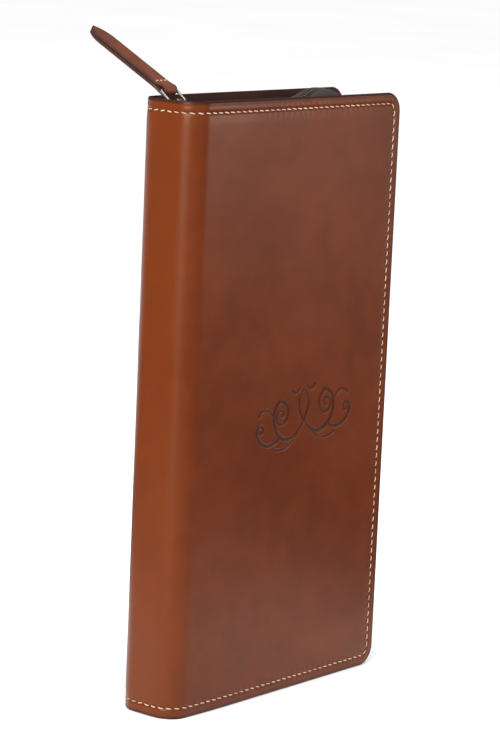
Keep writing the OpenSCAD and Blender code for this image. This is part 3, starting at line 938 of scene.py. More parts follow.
def pressed_depth(x, z):
    """0 to 1 where the ornament is pressed into the front leather."""
    points, widths = flourish()
    u, v = (x - FLOURISH_AT[0]) / MM, (z - FLOURISH_AT[1]) / MM
    cos, sin = math.cos(FLOURISH_TURN), math.sin(FLOURISH_TURN)
    u, v = u * cos + v * sin, v * cos - u * sin
    found = np.zeros(len(u))
    near = (np.abs(u) < FLOURISH_HALF[0] / MM + 1) & (np.abs(v) < FLOURISH_HALF[1] / MM + 1)
    for k in np.nonzero(near)[0]:
        gap = np.hypot(points[:, 0] - u[k], points[:, 1] - v[k]) - widths
        found[k] = gap.min()
    found[near] = smooth((0.28 - found[near]) / 0.42)
    return found


def leather_wave(x, y, z):
    """Slight unevenness of the leather over its board."""
    draw = random.Random(7)
    total = np.zeros_like(x)
    for _ in range(9):
        long = draw.uniform(26, 95) * MM
        angle, phase = draw.uniform(0, math.pi), draw.uniform(0, 2 * math.pi)
        way = np.cos(angle) * x + np.sin(angle) * z + 0.7 * y
        total += np.sin(2 * math.pi * way / long + phase) * long
    return total / (9 * 60 * MM)


def ease(x, x0, x1, y0, y1, slope0, slope1):
    """Cubic between two places with a slope at each."""
    t, span = np.clip((x - x0) / (x1 - x0), 0, 1), x1 - x0
    first = (1 + 2 * t) * (1 - t) ** 2 * y0 + t * (1 - t) ** 2 * span * slope0
    return first + t * t * (3 - 2 * t) * y1 + t * t * (t - 1) * span * slope1


def fold_sink(s):
    """How far the leather lies inside its plain line, where it eases round the spine's corner."""
    lead, deep, end, run = 3 * MM, 0.95 * MM, 0.72 * MM, 28 * MM
    a, b, c = SPINE_HALF - lead, SPINE_HALF + 0.6 * ARC_L, SPINE_HALF + ARC_L
    slope = -2 * end / run
    on_fold = np.where(s < b, ease(s, a, b, 0, deep, 0, 0), ease(s, b, c, deep, end, 0, slope))
    return np.where(s < c, on_fold, end * np.clip(1 - (s - c) / run, 0, 1) ** 2)


def cover_relief(s, z, inset, side):
    """Height of the leather's face over its plain line."""
    x, y = wrap_point(s, 0, side)
    across = (inset - STITCH_INSET) / MM
    hole = 0.5 + 0.5 * np.cos(2 * math.pi * seam_length_at(s, z) / STITCH_STEP)
    groove = -(0.2 + 0.14 * hole) * np.exp(-(across / 0.55) ** 2)
    pucker = 0.07 * (1 - hole) * np.exp(-((np.abs(across) - 1.5) / 0.8) ** 2)
    rim = -0.16 * (1 - smooth((inset / MM - 5.5) / 3))
    crease = -0.07 * np.exp(-((inset / MM - 1.9) / 0.28) ** 2)
    slack = -fold_sink(s) / MM
    wave = 0.16 * leather_wave(x, y, z) * smooth(inset / (9 * MM))
    return (groove + pucker + rim + crease + slack + wave) * MM


def skin(
    name, side, inset, face_depth, back_depth, step_s, step_z, material,
    relief=None, pressed=None, sink=lambda s: 0 * s,
):
    """Closed skin round half the case, from the middle of the spine to the fore edge.

    Its face is finely divided. Its back is rings round the free edges and long strips between.
    """
    length, height = WRAP - inset, CASE_H - 2 * inset
    corner = max(CORNER_R - inset, 1 * MM)
    away = 1 if back_depth > face_depth else -1
    edge_r = abs(back_depth - face_depth) / 2
    s_line, v_line = stations(length, step_s), stations(height, step_z)
    nc, nr = len(s_line), len(v_line)
    past = np.clip(s_line - (length - corner), 0, corner)
    low = corner - np.sqrt(corner ** 2 - past ** 2)
    s = np.broadcast_to(s_line, (nr, nc)).ravel()
    z = (low[None] + v_line[:, None] * (1 - 2 * low[None] / height)).ravel()
    d = np.clip(panel_inset(s, z, length, height, corner), 0, None)
    roll = edge_r - np.sqrt(np.clip(edge_r ** 2 - np.clip(edge_r - d, 0, None) ** 2, 0, None))
    raised = relief(s, z + inset, d, side) if relief else np.zeros_like(s)
    press = pressed(wrap_point(s, 0, side)[0], z + inset) if pressed else np.zeros_like(s)
    raised = raised - PRESS_DEPTH * press
    x, y = wrap_point(s, face_depth + away * (roll - raised) - sink(s), side)
    points = [np.stack([x, y, z + inset], 1)]
    # Mask for painted light on the spine side: 1 on the spine, fading out round its corner.
    bend = 1 - smooth((s - SPINE_HALF) / ARC_L)
    rows = [np.stack([s, z + inset, d, press, bend, 0 * s], 1)]

    grid = np.arange(nr * nc).reshape(nr, nc)
    rim = np.concatenate([grid[0], grid[1:, -1], grid[-1, -2::-1]])
    rim_s, rim_z = s[rim], z[rim]
    to_s = np.where(rim_s > length - corner, length - corner - rim_s, 0)
    near_head = np.where(rim_z > height - corner, height - corner - rim_z, 0)
    to_z = np.where(rim_z < corner, corner - rim_z, near_head)
    straight = rim_s <= length - corner
    to_z = np.where(straight, np.where(rim_z < height / 2, 1, -1), to_z)
    size = np.hypot(to_s, to_z)
    to_s, to_z = to_s / size, to_z / size
    margin = min(3 * MM, 0.6 * corner)
    rings = [rim]
    for angle in (25, 50, 75, 90, None):
        inward = margin if angle is None else edge_r * (1 - math.cos(math.radians(angle)))
        rise = 0 if angle is None else edge_r * (1 - math.sin(math.radians(angle)))
        rs, rz = rim_s + inward * to_s, rim_z + inward * to_z
        x, y = wrap_point(rs, back_depth - away * rise - sink(rs), side)
        rings.append(np.arange(len(rim)) + sum(len(p) for p in points))
        points.append(np.stack([x, y, rz + inset], 1))
        inner = 1.0 if angle in (90, None) else 0.0
        even = np.ones_like(rs)
        rows.append(np.stack([rs, rz + inset, inward * even, 0 * rs, 0 * rs, inner * even], 1))
    faces = quads(nr, nc)
    for outer, inner in zip(rings, rings[1:]):
        faces += np.stack([outer[:-1], outer[1:], inner[1:], inner[:-1]], 1).tolist()
    end = int(np.searchsorted(s_line, length - corner - 1e-9))
    faces += close_across(rings[-1], end)
    top = [int(ring[-1]) for ring in rings[1:]]
    foot = [int(ring[0]) for ring in rings[1:]]
    faces.append([int(v) for v in grid[:, 0]] + top + foot[::-1])
    rows = np.vstack(rows)
    uv = rows[:, :2] * (1 if side == FRONT else -1, 1)
    marks = {"inset": rows[:, 2] / MM, "pressed": rows[:, 3], "bend": rows[:, 4], "flesh": rows[:, 5]}
    return make_piece(name, np.vstack(points), faces, material, uv, marks, 60)


def bends_at_spine(piece):
    """Bakes the piece's place into its mesh; its shape already runs from the spine over the rounded
    corner to a cover.
    """
    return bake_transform(piece)


def near_edge(step, place, length):
    """Spacing that is close at both ends of a length."""
    return min(step, 0.06 * MM + 0.22 * min(place, abs(length - place)))


def leather_steps(side):
    """Spacing of the leather's face round the case and up it, close where it is pressed."""
    middle_s = FLOURISH_AT[0] - ARC_X + SPINE_HALF + ARC_L

    def step_s(s):
        if side == FRONT and abs(s - middle_s) < FLOURISH_HALF[0]:
            return 0.38 * MM
        return min(0.85 * MM, 0.04 * MM + 0.3 * abs(WRAP - s))

    def step_z(z):
        if side == FRONT and abs(z - FLOURISH_AT[1]) < FLOURISH_HALF[1]:
            return 0.38 * MM
        end = min(z, CASE_H - z)
        return near_edge(0.42 * MM if end < 6 * MM else 0.9 * MM, z, CASE_H)

    return step_s, step_z


def make_leather(side_name):
    """Half of the outer hide, with the ornament pressed into the front one."""
    side = SIDES[side_name]
    step_s, step_z = leather_steps(side)
    piece = skin(
        "leather_" + side_name, side, 0, 0, LEATHER_T, step_s, step_z, COWHIDE,
        cover_relief, pressed_depth if side == FRONT else None,
    )
    bends_at_spine(piece)
    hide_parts("spine_leather", side_name + "_leather")
    return piece


def make_lining(side_name):
    """Half of the cloth lining. It sinks towards the leather at the spine's corner."""
    def step_s(s):
        return 0.8 * MM if SPINE_HALF < s < SPINE_HALF + ARC_L else 3 * MM

    piece = skin(
        "lining_" + side_name, SIDES[side_name], LINING_INSET, LINING_DEPTH + LINING_T, LINING_DEPTH,
        step_s, lambda z: near_edge(3 * MM, z, CASE_H - 2 * LINING_INSET), LINING,
        sink=lambda s: 1.05 * MM * np.sin(math.pi * np.clip((s - SPINE_HALF) / ARC_L, 0, 1)) ** 2,
    )
    bends_at_spine(piece)
    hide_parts("spine_lining", side_name + "_lining")
    return piece


def make_thread(side_name, shape):
    """Half of the saddle stitching, from the foot of the spine round to its head."""
    side = SIDES[side_name]
    q = np.linspace(STITCH_STEP / 2, SEAM_LENGTH - STITCH_STEP / 2, 8 * STITCHES)
    s, z = (np.array(a) for a in zip(*[seam_point(v) for v in q]))
    x, y = wrap_point(s, 0.06 * MM + fold_sink(s), side)
    piece = repeat_along(
        "thread_" + side_name, [(np.stack([x, y, z], 1), wrap_out(s, side))], shape, [STITCHES],
        THREAD, seed=11 + side, slant=math.radians(9 * side), turn=math.radians(4), size=0.05,
    )
    bends_at_spine(piece)
    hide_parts("spine_stitching", side_name + "_stitching")
    return piece


# ---- Slabs with rounded fore corners: pages, end leaves, book covers and pockets ----

# Foot and head of the book's own cover and of its pages, and the pages' fore edge
COVER_Z = (9.5 * MM, 230.5 * MM)
PAGE_Z = (12 * MM, 228 * MM)
PAGE_FORE = 114.1 * MM
# Radius of a slab's two corners at the fore edge
BOOK_CORNER = 6 * MM
# Edge of a slab's flat face that is left free of print
FACE_MARGIN = 2.5 * MM


def slab_outline(x0, x1, z0, z1, corner, step_x):
    """Path from the spine over the foot's edge, up the fore edge and back, with its outward turn."""
    step_z = 10 * MM
    runs = x0 + stations(x1 - corner - x0, step_x)
    turn = np.radians(np.linspace(-90, 0, 9))[1:]
    rise = np.linspace(z0 + corner, (z0 + z1) / 2, max(2, round((z1 - z0) / 2 / step_z)))[1:]
    x = np.concatenate([runs, x1 - corner + corner * np.cos(turn), np.full(len(rise), x1)])
    z = np.concatenate([np.full(len(runs), z0), z0 + corner + corner * np.sin(turn), rise])
    angle = np.concatenate([np.full(len(runs), -math.pi / 2), turn, np.zeros(len(rise))])
    x = np.concatenate([x, x[-2::-1]])
    z = np.concatenate([z, (z0 + z1 - z)[-2::-1]])
    angle = np.concatenate([angle, -angle[-2::-1]])
    return x, z, np.cos(angle), np.sin(angle), len(runs)


def slab(name, box, layers, material, step_x):
    """Closed slab of layers (y, inset) between two faces. box is x0, x1, z0, z1."""
    x, z, out_x, out_z, runs = slab_outline(*box, BOOK_CORNER, step_x)
    count, total = len(x), len(layers) * len(x)
    points, marks = [], []

    def add_ring(y, inset, *values):
        px, pz = x - inset * out_x, z - inset * out_z
        px = np.where(np.abs(px - box[0]) < 1e-7, box[0], px)
        points.append(np.stack([px, np.full(count, y), pz], 1))
        marks.append(np.tile(values, (count, 1)))

    low, high = layers[0][0], layers[-1][0]
    for y, inset in layers:
        add_ring(y, inset, 0.0, (y - low) / (high - low), 1.0, 0.0)
    faces = quads(len(layers), count)
    for base, first, (y, inset) in ((0, total, layers[0]), (total - count, total + count, layers[-1])):
        inset += FACE_MARGIN
        add_ring(y, inset, inset / MM, float(base > 0), 0.0, 1.0)
        for k in range(count - 1):
            faces.append([base + k, base + k + 1, first + k + 1, first + k])
        faces += close_across(range(first, first + count), runs - 1)
    feet = list(range(0, total, count))
    heads = [foot + count - 1 for foot in feet]
    faces.append(
        [total, *feet, total + count, total + 2 * count - 1, *heads[::-1], total + count - 1]
    )
    points = np.vstack(points)
    marks = dict(zip(("inset", "leaf", "edge", "column"), np.vstack(marks).T))
    return make_piece(name, points, faces, material, points[:, (0, 2)], marks, 35)


def rounded_layers(low, high, bevel, sign):
    """Layers from low to high whose two edges are rounded."""
    rows = []
    for angle in (0, 30, 60, 90):
        a = math.radians(angle)
        rows.append((low + bevel * (1 - math.cos(a)), bevel * (1 - math.sin(a))))
    rows += [(low + high - y, inset) for y, inset in reversed(rows)]
    return [(sign * y, inset) for y, inset in rows]


def page_step(x):
    """Spacing across a page: close at the gutter."""
    return (0.7 if x < 12 * MM else 6) * MM


def make_pages(side_name, draw):
    """Leaves of half the book: the edges show each gathering."""
    side = SIDES[side_name]
    layers, leaves, gathering = [], 30, 10
    for k in range(leaves + 1):
        y = (0.3 + 8.4 * k / leaves) * MM
        shift = draw.uniform(0, 0.09) * MM + (0.12 * MM if k in (0, leaves) else 0)
        layers.append((side * y, shift))
        if k % gathering == 0 and 0 < k < leaves:
            layers.append((side * (y + 0.05 * MM), 0.3 * MM))
    piece = slab(
        "pages_" + side_name, (5.95 * MM, PAGE_FORE, *PAGE_Z), layers, PAPER, page_step
    )
    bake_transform(piece)
    sections = [f"{side_name}_section_{k}" for k in ("outer", "middle", "inner")]
    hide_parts("page_binding", *sections)
    return piece


def make_end_leaf(side_name):
    """Stiff laid leaf outside the pages."""
    side = SIDES[side_name]
    layers = rounded_layers(8.72 * MM, 9.0 * MM, 0.1 * MM, side)
    piece = slab(
        "end_leaf_" + side_name, (9.4 * MM, PAGE_FORE, *PAGE_Z), layers, END_PAPER, lambda x: 8 * MM
    )
    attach(piece, side_name + "_pages")
    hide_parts(side_name + "_end_leaf")
    return piece


def make_book_cover(side_name):
    """Calf board of the book's own binding, which sits in the pocket."""
    side = SIDES[side_name]
    layers = rounded_layers(10.6 * MM, 11.6 * MM, 0.42 * MM, side)
    piece = slab(
        "book_cover_" + side_name, (9.8 * MM, 116.6 * MM, *COVER_Z), layers, BLACK_CALF,
        lambda x: 6 * MM,
    )
    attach(piece, side_name + "_cover")
    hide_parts(f"book_{side_name}_cover")
    return piece


def make_book_spine():
    """Thin calf spine with five raised bands on its outer side."""
    low_z, high_z = COVER_Z
    half, band_pitch = 9 * MM, 40 * MM
    z = low_z + stations(221 * MM, lambda v: 0.8 * MM)
    rings, uv, inset = [], [], []
    for at in z:
        band = sum(math.exp(-((at - band_pitch * (k + 1)) / (1.6 * MM)) ** 2) for k in range(5))
        end = min(at - low_z, high_z - at)
        trim = 0.3 * MM * max(0, 1 - end / (0.6 * MM)) ** 2
        ring = []
        for a in np.radians(np.arange(0, 360, 15)):
            across, over = math.cos(a), math.sin(a)
            y = half * math.copysign(abs(across) ** 0.2, across)
            x = (0.5 * MM - trim) * math.copysign(abs(over) ** 0.7, over)
            lift = 0.4 * MM * band * (1 - abs(y / half) ** 6) if over > 0 else 0
            ring.append((4.5 * MM - x - lift, y, at))
            uv.append((y, at))
            inset.append(min(9 - abs(y) / MM, end / MM))
        rings.append(ring)
    points, faces = loft(rings)
    piece = make_piece("book_spine_calf", points, faces, BLACK_CALF, uv, {"inset": inset})
    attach(piece, "spine")
    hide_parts("book_spine")
    return piece


def make_binding():
    """Sewn and glued backs of the gatherings, with a cord at each sewing station."""
    z = PAGE_Z[0] + stations(216 * MM, lambda v: 0.9 * MM)
    rings, uv = [], []
    for at in z:
        cord = sum(math.exp(-((at - (0.03 + 0.036 * k)) / (1.3 * MM)) ** 2) for k in range(6))
        ring = []
        for y in np.linspace(-8.9, 8.9, 37):
            fold = 0.05 + 0.13 * abs(math.sin(math.pi * y / 2.966)) ** 0.5
            ring.append(((5.32 - fold * (1 - cord) - 0.14 * cord) * MM, y * MM, at))
            uv.append((y * MM, at))
        for y in np.linspace(8.9, -8.9, 13):
            ring.append((5.93 * MM, y * MM, at))
            uv.append((y * MM, at))
        rings.append(ring)
    points, faces = loft(rings)
    piece = make_piece("sewn_binding", points, faces, END_PAPER, uv)
    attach(piece, "spine")
    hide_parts("page_binding")
    return piece


BAND_R = 1.15 * MM


def make_end_band(name, z):
    """Silk sewn over a cord, one ridge for each turn of the thread."""
    y = np.arange(-9.0, 9.001, 0.06) * MM
    turn = y / (0.42 * MM)
    around = np.arange(14) * 2 * math.pi / 14
    middle = 6.25 * MM
    rings = []
    for at, count in zip(y, turn):
        radius = BAND_R * (0.86 + 0.14 * abs(math.sin(math.pi * count)) ** 0.6)
        radius *= min(1, 0.35 + (9 * MM - abs(at)) / (0.5 * MM))
        rings.append([(middle + radius * math.cos(a), at, z + radius * math.sin(a)) for a in around])
    points, faces = loft(rings)
    piece = make_piece("sewn_" + name, points, faces, SILK, None, {"turn": np.repeat(turn, 14)})
    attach(piece, "spine")
    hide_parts(name)
    return piece


def make_ribbon(name, node, x0, z0, material):
    """Satin marker lying in the middle opening, its tail cut to a notch below the pages."""
    z = z0 + stations(PAGE_Z[1] - z0, lambda v: (0.7 if v < 14 * MM else 2.5) * MM)
    rings, uv = [], []
    wide, half_t = 6 * MM, 0.07 * MM
    across = np.linspace(0, wide, 9)
    for at in z:
        ring = []
        notch = np.abs(across - wide / 2) * 0.9 if at == z[0] else 0 * across
        loose = smooth((12 * MM - at) / (7 * MM))
        wave = 0.2 * MM + 0.05 * MM * math.sin(at / (9 * MM))
        wave += 0.5 * MM * loose * math.sin(at / (2.2 * MM))
        for direction in (1, -1):
            for u, cut in list(zip(across, notch))[::direction]:
                rise = 2.7 * MM - cut if at == z[0] else 0
                y = wave - direction * half_t + 0.04 * MM * loose * math.sin(u / MM)
                ring.append((x0 + u, y, at + max(0, rise) * 0.25))
                uv.append((u, at))
        rings.append(ring)
    points, faces = loft(rings)
    piece = make_piece(name, points, faces, material, uv)
    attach(piece, "back_pages")
    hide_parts(node)
    return piece


def make_pocket(side_name):
    """Calf pocket that turns down to the lining along three edges and is open towards the spine."""
    side = SIDES[side_name]
    box = (65.1 * MM, 121.2 * MM, 5.9 * MM, 234.1 * MM)
    x, z, out_x, out_z, runs = slab_outline(*box, 2.5 * MM, lambda v: 2 * MM)
    count = len(x)
    bend, half, low, high = 1.1 * MM, 0.35 * MM, 3.83 * MM, 5.35 * MM
    line = [(half, low), (half, low + 0.25 * MM)]
    for angle in (20, 45, 70, 90):
        a = math.radians(angle)
        line.append((half + bend * (1 - math.cos(a)), high - bend * (1 - math.sin(a))))
    line += [(half + bend + 1.5 * MM, high), (half + bend + 4 * MM, high)]
    line = np.array(line)
    normal = square_to(line)
    points, uv, inset = [], [], []
    for sign in (1, -1):
        for (d, depth), (nd, ny) in zip(line, normal):
            dd, dy = d + sign * half * nd, depth + sign * half * ny
            px, pz = x - dd * out_x, z - dd * out_z
            points.append(np.stack([px, np.full(count, side * (HALF_T - dy)), pz], 1))
            uv.append(np.stack([px, pz], 1))
            inset.append(np.minimum(np.full(count, max(dd, 0) + depth - low), np.abs(px - box[0])) / MM)
    rows = len(line)
    other = rows * count
    faces = quads(rows, count)
    faces += [[v + other for v in face] for face in faces]
    for offset in (0, other):
        faces += close_across(range(offset + other - count, offset + other), runs - 1)
    for k in range(count - 1):
        faces.append([k, k + 1, other + k + 1, other + k])
    for end in (0, count - 1):
        for j in range(rows - 1):
            a, b = j * count + end, (j + 1) * count + end
            faces.append([a, b, other + b, other + a])
    a, b = other - count, other - 1
    faces.append([a, b, other + b, other + a])
    piece = make_piece(
        "pocket_" + side_name, np.vstack(points), faces, POCKET_HIDE, np.vstack(uv),
        {"inset": np.concatenate(inset)}, 50,
    )
    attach(piece, side_name + "_cover")
    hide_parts(side_name + "_sleeve")
    return piece


# ---- Zip: tapes, coils, stops, slider, lug, wire loop and tab ----

HUMP_X, HUMP_HALF, HUMP_RISE = 92 * MM, 20 * MM, 6.0 * MM
TOOTH_PITCH = 1.3 * MM
SLIDER_TOP = 237.1 * MM


def hump(x, z):
    """How far the zip stands up from its line over the top of the case."""
    share = np.clip(np.abs(x - HUMP_X) / HUMP_HALF, 0, 1)
    rise = HUMP_RISE * (1 - smooth(share)) * (0.55 + 0.45 * np.cos(share * math.pi / 2))
    return np.where(z > CASE_H / 2, rise, 0)


def rim_line(t, inset, depth, side, loose):
    """Point on a swept zip line. loose is the share of the hump that it follows."""
    x, z, out_x, out_z = cover_rim(t, inset)
    lift = hump(x, z) * loose
    return x + lift * out_x, side * (HALF_T - depth) + 0 * x, z + lift * out_z


def make_tape(side_name):
    """Tape glued under the leather, bent inwards and bowed a little to the coil."""
    side = SIDES[side_name]
    middle = [(3.2, 2.15), (4.2, 2.15), (4.72, 2.25), (5.02, 2.6), (5.12, 3.2)]
    for y in (4.4, 5.8, 7.2, 8.6, 10.0, 11.2, 12.2, 13.0, 13.45):
        bow = math.sin(math.pi * (y - 3.2) / 10.3)
        middle.append((5.12 - 0.5 * bow, y))
    middle = np.array(middle) * MM
    normal = square_to(middle)
    half = TAPE_T / 2 * np.ones(len(middle))
    half[0] = half[-1] = 0.2 * MM
    section = np.vstack([middle + half[:, None] * normal, (middle - half[:, None] * normal)[::-1]])
    across = walked(middle)
    around = np.concatenate([across, across[::-1]])
    t = np.linspace(0, 1, 380)
    rings = np.zeros((len(t), len(section), 3))
    uv = np.zeros((len(t), len(section), 2))
    for k, (inset, depth) in enumerate(section):
        loose = float(smooth((depth - 3.0 * MM) / (10 * MM)))
        ripple = 0.16 * MM * np.sin(t * 61) * loose
        x, y, z = rim_line(t, inset + ripple, depth, side, loose)
        rings[:, k] = np.stack([x, y, z], 1)
        uv[:, k] = np.stack([t * RIM_LENGTH, np.full(len(t), around[k])], 1)
    points, faces = loft(rings)
    piece = make_piece("zip_tape_" + side_name, points, faces, TAPE, uv.reshape(-1, 2))
    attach(piece, side_name + "_cover")
    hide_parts(side_name + "_zip_tape")
    return piece


def coil_shape():
    """One turn of the coil: a bar over the edge of the tape, its head and the bar under it."""
    line = np.array([
        (-0.16, 1.35, 0.36), (-0.1, 0.5, 0.62), (0.0, -0.75, 0.5), (0.04, -1.28, 0.0),
        (0.08, -0.75, -0.5), (0.2, 0.5, -0.62), (0.28, 1.35, -0.36),
    ]) * MM
    fat = np.array([0.26, 0.27, 0.29, 0.33, 0.29, 0.27, 0.26]) * MM
    tangent = np.gradient(line, axis=0)
    tangent /= np.linalg.norm(tangent, axis=1)[:, None]
    side = np.array([1.0, 0, 0]) - tangent * tangent[:, :1]
    side /= np.linalg.norm(side, axis=1)[:, None]
    over = np.cross(tangent, side)
    a = np.arange(6) * math.pi / 3
    ring = np.cos(a)[None, :, None] * side[:, None] + np.sin(a)[None, :, None] * over[:, None]
    points, faces = loft(line[:, None] + fat[:, None, None] * ring)
    return make_piece("coil_shape", points, faces, COIL)


def make_coil(side_name, shape):
    """Half of the coil. The two halves are set half a turn apart, so that their heads mesh."""
    side = SIDES[side_name]
    first = 3.6 * MM / RIM_LENGTH
    count = round(RIM_LENGTH * (1 - 2 * first) / TOOTH_PITCH)
    half_pitch = TOOTH_PITCH / 2 / RIM_LENGTH
    shift = half_pitch * (side == BACK)
    t = np.linspace(first + shift, 1 - first - (half_pitch - shift), 900)
    if side == FRONT:
        t = t[::-1]
    x, y, z = rim_line(t, ZIP_INSET, HALF_T - 1.25 * MM, side, 1.0)
    _, _, out_x, out_z = cover_rim(t, ZIP_INSET)
    out = np.stack([out_x, 0 * out_x, out_z], 1)
    piece = repeat_along(
        "zip_coil_" + side_name, [(np.stack([x, y, z], 1), out)], shape, [count], COIL, seed=5,
        slant=math.radians(4 * side),
    )
    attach(piece, side_name + "_cover")
    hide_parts(side_name + "_zip_coil")
    return piece


def make_stops(side_name):
    """Two pressed clips, each a folded plate with a dimple at its middle."""
    side = SIDES[side_name]
    low_y, high_y = sorted((side * 0.45, side * 2.1))
    nose, rib = side * 0.72, side * 1.5
    # In mm: both ends of each block in X, in Y and in Z from the middle of the zip, and its bevel
    blocks = [
        (8.2, 11.0, low_y, high_y, 0.34, 0.9, 0.2),
        (8.2, 11.0, low_y, high_y, -0.9, -0.34, 0.2),
        (8.3, 10.9, nose - 0.25, nose + 0.25, -0.75, 0.75, 0.22),
        (9.2, 10.0, rib - 0.3, rib + 0.3, 0.8, 1.0, 0.09),
    ]
    parts = []
    for z in (CASE_H - ZIP_INSET, ZIP_INSET):
        for x0, x1, y0, y1, z0, z1, bevel in blocks:
            low = (x0 * MM, y0 * MM, z + z0 * MM)
            high = (x1 * MM, y1 * MM, z + z1 * MM)
            parts.append(soft_box("clip", low, high, bevel * MM, NICKEL))
    piece = join("zip_stops_" + side_name, parts)
    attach(piece, side_name + "_cover")
    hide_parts(side_name + "_zip_stops")
    return piece


def along_x(x, y, z):
    """Turns a shape drawn in YZ, with its thickness along X, to its place."""
    turn = Matrix(((0, 0, 1), (1, 0, 0), (0, 1, 0))).to_4x4()
    return Matrix.Translation((x, y, z)) @ turn


def make_slider():
    """Two plates joined by a divider at the nose, with low rails that hold the coils."""
    half = [
        (5.2, 2.1), (5.4, 2.9), (6.0, 3.5), (7.0, 3.8), (8.2, 3.74), (9.4, 3.4), (10.6, 3.12),
        (12.5, 3.02), (14.6, 3.0), (15.05, 2.8), (15.2, 2.4),
    ]
    outline = [(x * MM, -y * MM) for x, y in half] + [(x * MM, y * MM) for x, y in half[::-1]]
    rail = np.array([(5.9, 3.3), (7.2, 3.5), (8.6, 3.4), (10.4, 2.82), (12.5, 2.74), (14.8, 2.7)])
    saddle = [(7.4, -1.2), (9.6, -0.9), (11.4, -0.55), (11.4, 0.55), (9.6, 0.9), (7.4, 1.2)]
    saddle = [(x * MM, y * MM) for x, y in saddle]
    middle = CASE_H - ZIP_INSET
    parts = []
    for lift in (1.8, -1.8):
        plate = pressed_shape("plate", outline, [], 0.9 * MM, 0.26 * MM, NICKEL)
        parts.append(place(plate, Matrix.Translation((0, 0, middle + lift * MM))))
        for side in (1, -1):
            path = np.stack([rail[:, 0], side * rail[:, 1], 0 * rail[:, 0] + lift * 0.6], 1) * MM
            points, faces = round_bar(path + (0, 0, middle), 0.34 * MM, 10)
            parts.append(make_piece("rail", points, faces, NICKEL))
    parts.append(soft_box("divider", (5.35 * MM, -0.14 * MM, middle - 1.6 * MM),
                          (9.1 * MM, 0.14 * MM, middle + 1.6 * MM), 0.1 * MM, NICKEL))
    ridge = pressed_shape("ridge", saddle, [], 0.5 * MM, 0.2 * MM, NICKEL)
    parts.append(place(ridge, Matrix.Translation((0, 0, middle + 2.3 * MM))))
    piece = join("zip_slider", parts)
    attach(piece, "slider")
    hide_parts("slider_body")
    return piece


def make_lug():
    """Pressed eye on the slider. The wire loop turns in it."""
    eye_z = JOINT["loop_swing"].z - SLIDER_TOP
    eye_r, hole_r = 1.4 * MM, 0.84 * MM
    arc = np.linspace(0, math.pi, 25)
    circle = np.linspace(0, 2 * math.pi, 29)[:-1]
    outline = [(-eye_r, 0), (eye_r, 0)]
    outline += [(eye_r * math.cos(a), eye_z + eye_r * math.sin(a)) for a in arc]
    hole = [(hole_r * math.cos(a), eye_z + hole_r * math.sin(a)) for a in circle]
    lug = pressed_shape("lug", outline, [hole], 2.4 * MM, 0.2 * MM, NICKEL)
    place(lug, along_x(6.4 * MM, 0, SLIDER_TOP))
    foot_low = (5.25 * MM, -1.75 * MM, 236.9 * MM)
    foot_high = (7.9 * MM, 1.75 * MM, 237.35 * MM)
    foot = soft_box("foot", foot_low, foot_high, 0.16 * MM, NICKEL)
    piece = join("slider_eye", [lug, foot])
    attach(piece, "slider")
    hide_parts("slider_lug")
    return piece


def make_loop():
    """Loop of bent wire through the slider's eye, its ends butted on the near bar."""
    pin = JOINT["loop_swing"]
    tilt, wire_r = math.radians(38), 0.6 * MM
    half, long, bend = 4.5 * MM, 7 * MM, 1.5 * MM
    flat = []
    for cx, cy, start in (
        (half - bend, bend, -90), (half - bend, long - bend, 0),
        (bend - half, long - bend, 90), (bend - half, bend, 180),
    ):
        for a in np.radians(np.linspace(start, start + 90, 9)):
            flat.append((cx + bend * math.cos(a), cy + bend * math.sin(a)))
    path = [(pin.x + u, pin.y + v * math.cos(tilt), pin.z + v * math.sin(tilt)) for u, v in flat]
    points, faces = round_bar(path, wire_r, 16, True, (0, -math.sin(tilt), math.cos(tilt)))
    piece = make_piece("wire_loop", points, faces, NICKEL, crease=60)
    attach(piece, "loop")
    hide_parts("pull_loop")
    return piece


TAB_TILT = math.radians(27)
TAB_L, TAB_T = 45 * MM, 1.3 * MM


def tab_place(points):
    """Puts the strap's across, along and over places on the wire's far bar."""
    pin = JOINT["tab_swing"]
    across, along, over = np.asarray(points, float).T
    cos, sin = math.cos(TAB_TILT), math.sin(TAB_TILT)
    y, z = pin.y + along * cos - over * sin, pin.z + along * sin + over * cos
    return np.stack([pin.x + across, y, z], 1)


def tab_half_width(along):
    """Half the strap's width: a narrow fold, straight sides and a rounded point."""
    taper = 8.6 * MM
    past = np.clip((along - (TAB_L - taper)) / taper, 0, 1)
    wide = 4 * MM - 0.55 * MM * (1 - smooth((along - 1 * MM) / (4 * MM)))
    return wide * np.sqrt(np.clip(1 - past ** 2.1, 0, 1)) ** 1.15 * (1 - 0.1 * past)


